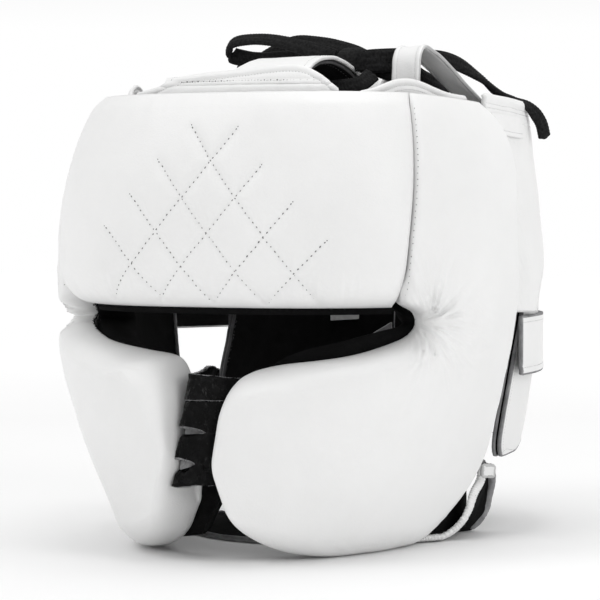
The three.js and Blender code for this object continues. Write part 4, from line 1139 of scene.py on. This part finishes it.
REAR_HEM = by_height([(p, float(mix(197.5, 195.5, ramp(p, 87, 122))), float(mix(207, 205, ramp(p, 87, 122)))) for p in (87, 105, 120, 135, 150, 163, 176)])
for side, sign in (("left", 1), ("right", -1)):
    hem = wall_sheet(REAR_HEM, 34, 26, rear_hem_face, 2.6, rear_hem_bumps, sign=sign)
    hem.build("rear_hem_leather_" + side, WHITE, BLACK, WHITE, nodes="rear_hem_" + side)
    for d in (3.6, 5.6):
        pts, nor = hem.edge_line("B", d)
        threads.run(pts, nor, pitch=2.8, length=1.9, width=0.6, height=0.45, hole=0.36, seed=35)
    # folded tab of leather under the hem, with its stitched lower edge
    patch = wall_sheet([(87.5, 193.5, 87.5, 198.5), (92, 191.5, 92, 198.5), (98, 189.6, 98, 198.3), (106, 188.8, 106, 198), (113, 188.6, 113, 197.6)], 14, 20,
                       gusset_face, 1.1, lambda p, z, s, t: 0.3 * fbm(p * 0.4, z * 0.2, 9, 2), rise=1.7, sign=sign)
    patch.build("hem_patch_" + side, WHITE, WHITE, WHITE)
    pts, nor = patch.edge_line("A", 1.5)
    threads.run(pts, nor, pitch=3.2, length=2.2, width=0.6, height=0.45, hole=0.5, seed=36)

# ------------------------------------------------------------------ ear gussets and rear panels


def gusset_bumps(psi, z, s, t):
    a = (np.abs(psi) - 92) * 1.75
    slant = a * 0.84 + z * 0.34
    along = -a * 0.34 + z * 0.94
    near = np.exp(-(a / 22) ** 2)
    ridge = 1 - 2 * np.abs(noise(slant * 0.42, along * 0.045, 4))
    fine = 1 - 2 * np.abs(noise(slant * 1.05 + 8, along * 0.09, 5))
    out = near * (0.50 * ridge + 0.26 * fine) + 0.45 * fbm(psi * 0.09, z * 0.05, 7, 2)
    pucker = np.exp(-(a / 3.2) ** 2) * 0.45 * noise(z * 0.36, a * 0.1, 6)
    return (out + pucker) * ramp(a, -0.5, 2.5)


def gusset_rows(low, back):
    far = max(back + 1, 126) if back > 120 else back + 5
    return [(92.4, low, back, low - 1.5), (92.4, low + 12, far, low + 11.5), (92.2, 132, max(128, far), 132), (91.8, 155, 134, 155),
            (90.8, 178, 136, 178), (89, 196, 136, 194)]


for side, sign, low, back_psi in (("left", 1, 106, 114), ("right", -1, 94, 131)):
    g = wall_sheet(gusset_rows(low, back_psi), 36, 150, gusset_face, 1.8, gusset_bumps, sign=sign)
    g.build("ear_gusset_leather_" + side, WRINKLED, BLACK, PALE_RAW, nodes="ear_gusset_" + side)
    pts, nor = g.edge_line("A", 1.0)
    threads.run(pts, nor, pitch=3.1, length=0, hole=0.42, lift=0.05, seed=41)
    pts, nor = g.edge_line("B", 2.2)
    threads.run(pts, nor, pitch=3.1, length=2.1, width=0.6, height=0.45, hole=0.36, seed=42)

PANEL_T, SUEDE_T, LAP, GAP = 2.6, 2.2, 6.0, 0.3
REAR_LEFT = [(109, 36.5, 124, 37), (105.5, 41, 140, 42), (103.5, 48, 165, 50), (103, 58, 178, 60), (104.6, 72, 184, 74), (107.5, 90, 184, 90),
             (110, 108, 184, 108), (110.5, 130, 184, 130), (110.5, 160, 184, 160), (110.5, 194, 184, 202)]
REAR_RIGHT = [(-128, 37, -136, 38), (-124, 42, -148, 44), (-122, 50, -154, 52), (-122.6, 60, -158, 62), (-125, 72, -165, 74), (-128.2, 88, -178, 90),
              (-129.4, 106, -184, 106), (-116, 130, -185, 130), (-112, 160, -185, 160), (-111, 194, -185, 203)]


def pulled(psi, z):
    return rear_r(psi, z) - 7 * (1 - ramp(-psi, 134, 160)) * (1 - ramp(z, 110, 150)) + LAP * ramp(-psi, 150, 169)


def panel_bumps(psi, z, s, t):
    return 0.8 * fbm(psi * 0.05, z * 0.035, 9, 3) - 0.2


# on the right side the panel edges and their suede hairs take the darker raw suede: painted shade for the far side
for side, rows, face in (("left", REAR_LEFT, rear_r), ("right", REAR_RIGHT, pulled)):
    outer = wall_sheet(rows, 16, 110, face, PANEL_T - 0.6, panel_bumps)
    outer.build("rear_leather_" + side, WHITE, GREY, GREY if side == "left" else DARK_GREY, nodes="rear_panel_" + side)
    inner = wall_sheet(rows, 16, 90, face, SUEDE_T - 0.4, panel_bumps, rise=-PANEL_T - GAP)
    inner.build("rear_suede_face_" + side, BLACK, BLACK, GREY if side == "left" else DARK_GREY, slot="black_suede", nodes="rear_suede_" + side)
    for e, d in (("A", 2.4), ("B", 2.4), ("0", 2.4)):
        pts, nor = outer.edge_line(e, d)
        threads.run(pts, nor, pitch=3.1, length=2.1, width=0.6, height=0.45, hole=0.36, seed=45)
    pts, nor = inner.edge_line("A", 0.6, -1)
    finish_piece(fuzz("panel_nap_" + side, pts, nor, 1.1, GREY if side == "left" else DARK_GREY, per_mm=1.2, seed=12), None)

# ------------------------------------------------------------------ closing strap

STRAP_LOW, STRAP_HIGH, STRAP_MID = 75.0, 101.5, 86.0
L_OUT = [(p, float(rear_r(p, STRAP_MID) + 3 + 5.2 * ramp(p, 158, 170) - 4 * ramp(p, 202, 215)))
         for p in (107, 114, 120, 128, 136, 144, 152, 160, 168, 176, 184, 192, 200, 207, 214)]
r_face = lambda p: float(pulled(-p, STRAP_MID))
R_OUT = [(-p, r_face(p) + 3.5) for p in (130.5, 134, 139, 146, 152)]

L_EDGE = [(104.4, float(rear_r(105, STRAP_MID)) + 2.6)]
for side, path, sign in (("left", L_EDGE + L_OUT, 1), ("right", R_OUT, -1)):
    flat = np.array([place(p, 0, r) for p, r in path])
    flat = resample(catmull(flat, 10), 1.3)
    zs = np.linspace(STRAP_LOW, STRAP_HIGH, 26)
    P = np.repeat(flat[:, None, :], len(zs), axis=1)
    P[..., 2] = zs[None, :]
    d = unit(np.gradient(flat, axis=0))
    up = np.stack([d[:, 1], -d[:, 0], 0 * d[:, 0]], -1) * sign
    s = np.arange(len(flat)) * 1.3
    wave = 0.45 * fbm(s[:, None] * 0.045, zs[None, :] * 0.05, 3, 3)
    lipped = 0.35 * np.exp(-((zs[None, :] - STRAP_LOW - 1) / 1.2) ** 2) - 0.3 * np.exp(-((zs[None, :] - STRAP_LOW - 3.0) / 0.8) ** 2)
    P = P + up[:, None, :] * (wave + lipped)[..., None]
    st = Sheet(P, 2.2, None, rough=0.25, rim=4)
    if np.sum(st.N[-1] * (P[-1] - np.array([0, AXIS_Y, 86.0]))) < 0:
        st = Sheet(P[:, ::-1], 2.2, None, rough=0.25, rim=4)
    # on the right side the strap's edge takes the darker raw suede: painted shade for the far side
    st.build("rear_strap_leather_" + side, WHITE, BLACK, GREY if side == "left" else DARK_GREY, nodes="rear_strap_" + side)
    for e in ("A", "B"):
        pts, nor = st.edge_line(e, 2.2)
        threads.run(pts, nor, pitch=3.1, length=2.1, width=0.6, height=0.45, hole=0.36, seed=51)
    top_edge = "B" if st.P[0, -1, 2] > st.P[0, 0, 2] else "A"
    pts, nor = st.edge_line(top_edge, 0.0)
    lean = np.repeat([[0, 0, 1.0]], len(pts), axis=0)
    finish_piece(fuzz("strap_nap_" + side, pts - nor * 1.1, lean, 1.2, GREY, per_mm=2.0, seed=13), None)

# ------------------------------------------------------------------ crown flap and loops

FLAP = [(0, -93.5, 207.6), (0, -88, 215.6), (0, -76, 220.8), (0, -61, 223), (0, -42, 221.8), (0, -25, 217.8), (0, -16, 213.9)]
UNDER = [(0, y + (2.0 if i < 2 else 1 if i == 2 else -1 if i > 4 else 0), z - (0.5 if i < 1 else 2.1)) for i, (_, y, z) in enumerate(FLAP)]


def flap_grid(line, width, n=16, m=60):
    p = catmull(line, n) + np.array([0, AXIS_Y, 0])
    u = np.linspace(0, 1, len(p))
    w = mix(width[0], width[1], u)
    x = w[:, None] * np.linspace(-0.5, 0.5, m)[None, :]
    P = np.repeat(p[:, None, :], m, axis=1)
    P[..., 0] = x
    level = 213.0
    keep = mix(0.12, 1, ramp(x, -13, 1.5))
    P[..., 2] = np.where(P[..., 2] > level, level + (P[..., 2] - level) * keep, P[..., 2])
    P[..., 2] += 0.6 * ramp(x, 4, 30) * np.sin(np.pi * u)[:, None]
    P[..., 2] += 0.5 * fbm(x * 0.05, P[..., 1] * 0.06, 2, 3) - 0.2
    return P


flap = Sheet(flap_grid(FLAP, (70, 62)), 1.9, (0, AXIS_Y - 60, 180), rim=5)
flap.build("crown_flap_leather", WHITE, GREY, WHITE, nodes="crown_flap")
lining = Sheet(flap_grid(UNDER, (67, 60)), 1.3, (0, AXIS_Y - 60, 180), rim=3)
lining.build("crown_flap_suede", BLACK, BLACK, DARK_GREY, slot="black_suede", nodes="crown_flap_lining")
for e, d in (("A", 2.2), ("B", 2.2), ("1", 2.2)):
    pts, nor = flap.edge_line(e, d)
    threads.run(pts, nor, pitch=2.9, length=2.0, width=0.6, height=0.45, hole=0.36, seed=61)
pts, nor = lining.edge_line("B", 2.6, -1)
dark_threads.run(pts, nor, pitch=3.2, length=1.5, width=0.6, height=0.5, hole=0, seed=62)

ARCH = [(60, -34, 199), (60, -33.5, 206), (59.6, -32, 216), (58.8, -28.5, 225), (58.6, -22, 229.3), (61, -13, 227), (65, -4, 220.5), (69.5, 4.5, 213),
        (73.5, 11, 207), (77, 15.5, 203)]
for side, sign, press in (("left", 1, 1.0), ("right", -1, 0.5)):
    line = [(sign * x, y, mix(199, z, press)) for x, y, z in ARCH]
    lp = band(line, 13, lambda q: (sign, -0.1 * sign, -0.3 * float(ramp(q[1] - AXIS_Y, -25, 20))), 1.7, n=16, m=27,
              away=(sign * 62, AXIS_Y - 12, 205), shift=lambda u, t: 0.5 * np.exp(-((np.abs(t) - 0.46) / 0.04) ** 2) + 0.3 * fbm(u * 9, t * 2, 5, 2),
              rough=0.12, rim=4)
    lp.build("loop_leather_" + side, WHITE, WRINKLED, PALE_RAW, nodes="loop_" + side)
    for e in ("A", "B"):
        pts, nor = lp.edge_line(e, 1.9)
        threads.run(pts, nor, pitch=2.7, length=1.8, width=0.55, height=0.42, hole=0.33, seed=63)
BACK_LOOP = [(0, 103.5, 202), (0, 98, 206), (0, 87, 212.5), (0, 75, 219), (0, 68, 220.5), (0, 63, 217), (0, 62, 209), (0, 65, 202), (0, 74, 198),
             (0, 89, 196.5), (0, 103.5, 196)]
lp = band(BACK_LOOP, 12, (1, 0, 0), 1.7, n=14, m=17, away=(0, AXIS_Y + 82, 206), shift=lambda u, t: 0.3 * fbm(u * 9, t * 2, 5, 2), rough=0.12, rim=4)
lp.build("loop_leather_back", WHITE, WRINKLED, PALE_RAW, nodes="loop_back")
for e in ("A", "B"):
    pts, nor = lp.edge_line(e, 1.9)
    threads.run(pts, nor, pitch=2.7, length=1.8, width=0.55, height=0.42, hole=0.33, seed=64)

# ------------------------------------------------------------------ mouth bridge

BRIDGE_LINE = [(-6.4, -96), (-6.6, -104), (-6.8, -111), (-6.9, -117), (-5.6, -120.2), (-3.2, -120.6), (0, -119), (3.4, -117.2), (5.6, -115), (6.4, -110),
               (6.4, -102), (6, -92)]
# Slits in the strap: height, where they start and end along it, and how far they gape.
SLITS = [(68.2, 12, 41, 0.35), (55.1, 15, 34, 1.9), (41.7, 17, 31.5, 2.7)]


def bridge():
    flat = catmull([(x, y, 0) for x, y in BRIDGE_LINE], 16)
    flat = resample(flat, 0.6)
    n = len(flat)
    s = np.arange(n) * 0.6
    zs = list(np.linspace(33, 80, 70))
    for z0, a, b, gape in SLITS:
        zs = [z for z in zs if abs(z - z0) > 0.3] + [z0 - 1e-4, z0 + 1e-4]
    zs = np.array(sorted(zs))
    d = unit(np.gradient(flat, axis=0))
    nor = np.stack([-d[:, 1], d[:, 0], 0 * d[:, 0]], -1)
    P = np.zeros((n, len(zs), 3))
    left = 1 - ramp(s, 26, 46)
    lean = (0.16 + 0.07 * left) * ramp(-flat[:, 1], 92, 114)
    P[..., 0] = flat[:, 0:1] - (1.0 + 3.2 * (86 - zs[None, :]) / 53) * (left * ramp(s, 10, 20))[:, None]
    P[..., 0] += 6.0 * ramp(zs, 46, 82)[None, :] * ramp(s, 34, 46)[:, None]
    P[..., 1] = flat[:, 1:2] + AXIS_Y - lean[:, None] * (86 - zs[None, :])
    P[..., 1] += 3.0 * ramp(zs, 46, 82)[None, :] * np.exp(-((s - 43) / 7) ** 2)[:, None]
    P[..., 2] = zs[None, :]
    S, Z = np.meshgrid(s, zs, indexing="ij")
    wrinkle = 0.55 * (1 - 2 * np.abs(noise(S * 0.13 + 4, Z * 0.16, 3))) + 0.30 * (1 - 2 * np.abs(noise(S * 0.5, Z * 0.38 + 0.2 * S, 4)))
    calm = ramp(S, 8, 16) * ramp(s[-1] - S, 8, 16)
    out = wrinkle * 0.8 * calm
    dz = np.zeros_like(out)
    for z0, a, b, gape in SLITS:
        x = np.clip((S - a) / (b - a), 0, 1)
        h = gape * np.sqrt(np.maximum(1 - (2 * x - 1) ** 2, 0)) * (x > 0) * (x < 1)
        fall = np.exp(-np.abs(Z - z0) / 5.5)
        dz += np.sign(Z - z0) * h * fall
        out += 0.8 * h * np.exp(-np.abs(Z - z0) / 2.0) * np.where(Z < z0, 1, -0.3)
    P[..., 2] += dz
    # the upper edge dips at the fold
    P[..., 2] += 2.8 * np.exp(-((S - 7) / 7) ** 2) * ramp(Z, 70, 80) - 2.2 * ramp(S, 26, 46) * ramp(Z, 70, 80)
    P[..., 2] += 0.25 * noise(S * 0.45, Z * 0 + 3, 7) * (ramp(Z, 77, 80) + ramp(Z, 36, 33))
    P = P + nor[:, None, :] * out[..., None]
    faces, keep = [], []
    for q in grid_quads(n, len(zs)):
        i, j = divmod(int(q[0]), len(zs))
        hole = False
        if zs[j + 1] - zs[j] < 0.001:
            hole = True
        if not hole:
            faces.append(tuple(int(k) for k in q))
    me = bpy.data.meshes.new("bridge_patent")
    me.from_pydata([tuple(v) for v in lifted(P.reshape(-1, 3)) * 0.001], [], faces)
    me.update()
    import bmesh
    bm = bmesh.new()
    bm.from_mesh(me)
    bmesh.ops.remove_doubles(bm, verts=bm.verts, dist=2e-6)
    bm.to_mesh(me)
    bm.free()
    me.materials.append(PATENT)
    me.materials.append(GREY)
    me.polygons.foreach_set("use_smooth", np.ones(len(me.polygons), bool))
    ob = bpy.data.objects.new("bridge_patent", me)
    bpy.context.scene.collection.objects.link(ob)
    so = ob.modifiers.new("thickness", "SOLIDIFY")
    so.thickness = 0.0018
    so.offset = 0
    so.use_even_offset = False
    so.material_offset_rim = 1
    finish_piece(ob, "mouth_bridge")
    k = 0
    extra = []
    for z0, a, b, gape in SLITS:
        j = int(np.argmin(np.abs(zs - (z0 + 1e-4))))
        i0, i1 = int(a / 0.6), int(b / 0.6)
        if gape > 1:
            # the raw back of the fold shows through the open slits
            lo, hi = (int(np.argmin(np.abs(zs - (z0 + dz_)))) for dz_ in (-6, 6))
            t = np.linspace(0, 1, 9)[None, :, None]
            Q = mix(P[i0:i1 + 3, lo][:, None, :], P[i0:i1 + 3, hi][:, None, :], t) + nor[i0:i1 + 3][:, None, :] * 1.9
            extra.append(Sheet(Q, 0.7, None, rough=0.1).build(f"slit_back_{len(extra)}", GREY, GREY, GREY, slot="raw_suede"))
        for jj, lean_z in ((j, -1.0), (j - 1, 1.0)):
            edge = P[i0:i1 + 1, jj]
            nn = nor[i0:i1 + 1]
            for lift in (0.7, -0.5):
                finish_piece(fuzz(f"slit_nap_{k}", edge + nn * lift, np.repeat([[0, 0, lean_z * 0.4]], len(edge), axis=0) + nn * 0.3, 0.9,
                                  PALE_RAW if k % 2 == 0 else GREY, per_mm=2.6, seed=70 + k), None)
                k += 1
    edge = P[:, -1]
    for lift in (0.7, 0.0, -0.7):
        finish_piece(fuzz(f"bridge_nap_{k}", edge + nor * lift, np.repeat([[0, 0, 1.0]], n, axis=0), 0.7, GREY, per_mm=2.6, seed=80 + k), None)
        k += 1
    return ob


bridge()

# ------------------------------------------------------------------ chin strap

CHIN_HALF = [(77, 24, 33), (79, 21, 24), (77, 16, 13), (70.5, 9, 5), (60, 0, 1.75), (44, -19, 1.75), (23, -36, 1.75)]
CHIN = CHIN_HALF + [(0, -42, 1.75)] + [(-x, y, z) for x, y, z in reversed(CHIN_HALF)]


def chin_edges(p):
    """Where the strap's front and rear edges lie beside its middle line: it narrows up to the jaw corners."""
    return mix(-18.0, -1.5, ramp(p[:, 2], 8, 29)), mix(18.5, 9.0, ramp(p[:, 2], 5, 22))


def chin_grid(n=20, m=40):
    p = catmull(CHIN, n) + np.array([0, AXIS_Y, 0])
    d = unit(np.gradient(p, axis=0))
    w = np.broadcast_to(np.array([0, 1.0, 0]), p.shape)
    w = unit(w - d * np.sum(w * d, axis=1, keepdims=True))
    up = np.cross(w, d)
    t = np.linspace(-0.5, 0.5, m)
    front, rear = chin_edges(p)
    P = p[:, None, :] + w[:, None, :] * mix(front[:, None], rear[:, None], t[None, :] + 0.5)[..., None]
    return p, d, w, up, P, t


p, d, w, up, P, t = chin_grid()
inward = np.sign(np.sum(up[0] * (np.array([0, 0, 40.0]) - p[0])))
rise_in = 1.6 * np.exp(-((t - 0.05) / 0.28) ** 2)[None, :] * ramp(np.abs(P[..., 0]), 50, 68)
rough = 0.35 * fbm(np.arange(len(p))[:, None] * 0.16, t[None, :] * 9, 5, 3)
P = P + up[:, None, :] * (inward * rise_in + rough)[..., None]
P[..., 2] += 11 * (t[None, :] + 0.5) ** 1.4 * ramp(62 - np.abs(P[..., 0]), 0, 30)
P[..., 2] = np.maximum(P[..., 2], 1.3)
chin = Sheet(P, 2.4, None, rough=0.4, rim=4)
if np.sum(chin.N[0] * (np.array([0, 0, 40.0]) - P[0])) > 0:
    chin = Sheet(P[:, ::-1], 2.4, None, rough=0.4, rim=4)
chin_ob = chin.build("chin_strap_suede", BLACK, BLACK, GREY, slot="raw_suede", nodes="chin_strap")


def rolled(name, line, side, ups, width, height, bumps, material, K=20, lowest=0.05):
    """A flattened roll along a line, its relief given by bumps(s, angle)."""
    m = len(line)
    s = np.r_[0, np.cumsum(np.linalg.norm(np.diff(line, axis=0), axis=1))]
    ang = np.linspace(0, 2 * math.pi, K, endpoint=False)
    S, A = np.meshgrid(s, ang, indexing="ij")
    r = 1 + bumps(S, A)
    taper = np.sqrt(np.clip(np.minimum(s, s[-1] - s) / 2.5, 0.05, 1))[:, None]
    W = np.sign(np.cos(A)) * np.abs(np.cos(A)) ** 0.85 * width / 2 * r * taper
    H = np.sign(np.sin(A)) * np.abs(np.sin(A)) ** 0.85 * height / 2 * r * taper
    V = line[:, None, :] + side[:, None, :] * W[..., None] + ups[:, None, :] * H[..., None]
    V[..., 2] = np.maximum(V[..., 2], lowest)
    verts = np.concatenate([V.reshape(-1, 3), line[:1], line[-1:]])
    i, j = np.meshgrid(np.arange(m - 1), np.arange(K), indexing="ij")
    j2 = (j + 1) % K
    faces = [tuple(q) for q in np.stack([i * K + j, (i + 1) * K + j, (i + 1) * K + j2, i * K + j2], -1).reshape(-1, 4)]
    faces += [(m * K, k, (k + 1) % K) for k in range(K)]
    faces += [(m * K + 1, (m - 1) * K + (k + 1) % K, (m - 1) * K + k) for k in range(K)]
    ob = mesh_object(name, verts, faces, [material])
    return finish_piece(ob, None)


# rough rolled rear edge of the strap
rear_line = resample(p + w * (chin_edges(p)[1][:, None] - 1.8), 0.8)
idx = np.linspace(0, len(p) - 1, len(rear_line))
W3 = np.array([[np.interp(i, np.arange(len(p)), w[:, k]) for k in range(3)] for i in idx])
U3 = np.array([[np.interp(i, np.arange(len(p)), up[:, k]) for k in range(3)] for i in idx])
rear_line[:, 2] = np.maximum(rear_line[:, 2], 2.2) + 10.5 * ramp(62 - np.abs(rear_line[:, 0]), 0, 30)
rolled("chin_strap_rear_roll", rear_line, W3, U3, 5.4, 4.0,
       lambda S, A: 0.10 * noise(S * 0.5, A * 1.6, 3) + 0.09 * noise(S * 1.3, A * 2.2, 4), GREY, 22)
# white pleated binding along the front edge, at each jaw corner
for side, sel in (("left", p[:, 0] > 30), ("right", p[:, 0] < -30)):
    pp, ww, uu = p[sel], w[sel], up[sel]
    fr = resample(pp + ww * (chin_edges(pp)[0][:, None] - 1.2), 0.3)
    # the binding bends round the corner without a kink
    ends = np.vstack([np.repeat(fr[:1], 24, 0), fr, np.repeat(fr[-1:], 24, 0)])
    fr = np.stack([np.convolve(ends[:, c], np.ones(49) / 49, "valid") for c in range(3)], 1)
    idx = np.linspace(0, len(pp) - 1, len(fr))
    W3 = np.array([[np.interp(i, np.arange(len(pp)), ww[:, k]) for k in range(3)] for i in idx])
    U3 = np.array([[np.interp(i, np.arange(len(pp)), uu[:, k]) for k in range(3)] for i in idx])
    fr[:, 2] = np.maximum(fr[:, 2], 2.2)
    rolled("chin_binding_" + side, fr, W3, U3, 7.0, 3.0,
           lambda S, A: 0.16 * np.maximum(np.cos(2 * math.pi * (S / 1.9 + 0.5 * noise(S * 0.2, A * 0.0, 2))), -0.4) * (0.35 + 0.65 * np.maximum(-np.cos(A), 0)) + 0.05 * noise(S * 0.7, A, 5),
           WRINKLED, 26)

# suede that closes the corner between each cheek's lining and the strap
for side, sign in (("left", 1), ("right", -1)):
    jaw = wall_sheet([(68, 6, 103, 4), (76, 14, 107, 10), (83, 24, 107, 20), (87, 32, 102, 28)], 10, 24, lambda q, z: 72.5 + 0 * q, 1.6,
                     lambda q, z, s, t: 0.4 * noise(q * 0.1, z * 0.1, 6), sign=sign)
    jaw.build("jaw_lining_" + side, BLACK, BLACK, BLACK, slot="black_suede")

TAB = [(82.6, 8.8, 30.8), (84.4, 11.2, 30.6), (86, 13, 30.4)]
for side, sign in (("left", 1), ("right", -1)):
    tb = band([(sign * x, y, z) for x, y, z in TAB], 4, (0, 0, 1), 2.4, n=10, m=8, away=(0, AXIS_Y, 38),
              shift=lambda u, t: 0.25 * fbm(u * 4, t * 3, 5, 2), rough=0.25, rim=4)
    tb.build("jaw_tab_leather_" + side, WHITE, WHITE, PALE_RAW, nodes="jaw_tab_" + side)

# ------------------------------------------------------------------ label

lb = wall_sheet([(-165.6, 95.4, -165.6, 106), (-162, 95, -162, 106), (-158.6, 94.6, -158.6, 106)], 8, 12,
                lambda q, z: pulled(q, z) - PANEL_T - SUEDE_T - 2 * GAP - 1.8, 0.5, lambda q, z, s, t: 0.25 * noise(q * 0.3, z * 0.2, 4))
lb.build("label_weave", LABEL, LABEL, LABEL, slot="label_cloth", nodes="label")

# the cut corner of the lapped panel, standing a little off the wall inside
lap = wall_sheet([(-163.2, 77.5, -163.2, 79), (-168, 80.5, -168, 85.5), (-174.5, 85, -174.5, 93.5)], 12, 10,
                 lambda q, z: pulled(q, z) - PANEL_T - SUEDE_T - 2 * GAP - 2.2, 0.9, lambda q, z, s, t: 0.3 * noise(q * 0.3, z * 0.2, 4), rough=0.2)
lap.build("lap_corner", GREY, GREY, PALE_RAW, slot="raw_suede")
# the raw rear edge of the right side's lining, rolled inwards
_z = np.linspace(63, 106, 60)
_psi = -(91 - 8 * ramp(_z, 110, 60) * 0.75) + 6.5
_line = place(_psi, _z, inner_r(_psi, _z) - 0.9)
_out = unit(place(_psi, _z, 90) - place(_psi, _z, 80))
_side = unit(np.cross(_out, np.array([0, 0, 1.0])))
rolled("lining_edge_right", _line, _side, _out, 1.6, 1.6, lambda S, A: 0.16 * noise(S * 0.8, A * 1.4, 3), GREY, 12, 1.0)

# ------------------------------------------------------------------ stitches, end

finish_piece(threads.build("stitching", [THREAD, HOLE, THREAD_DARK]), None)
finish_piece(dark_threads.build("stitching_dark", [THREAD_GREY, HOLE]), None)

bpy.context.view_layer.update()
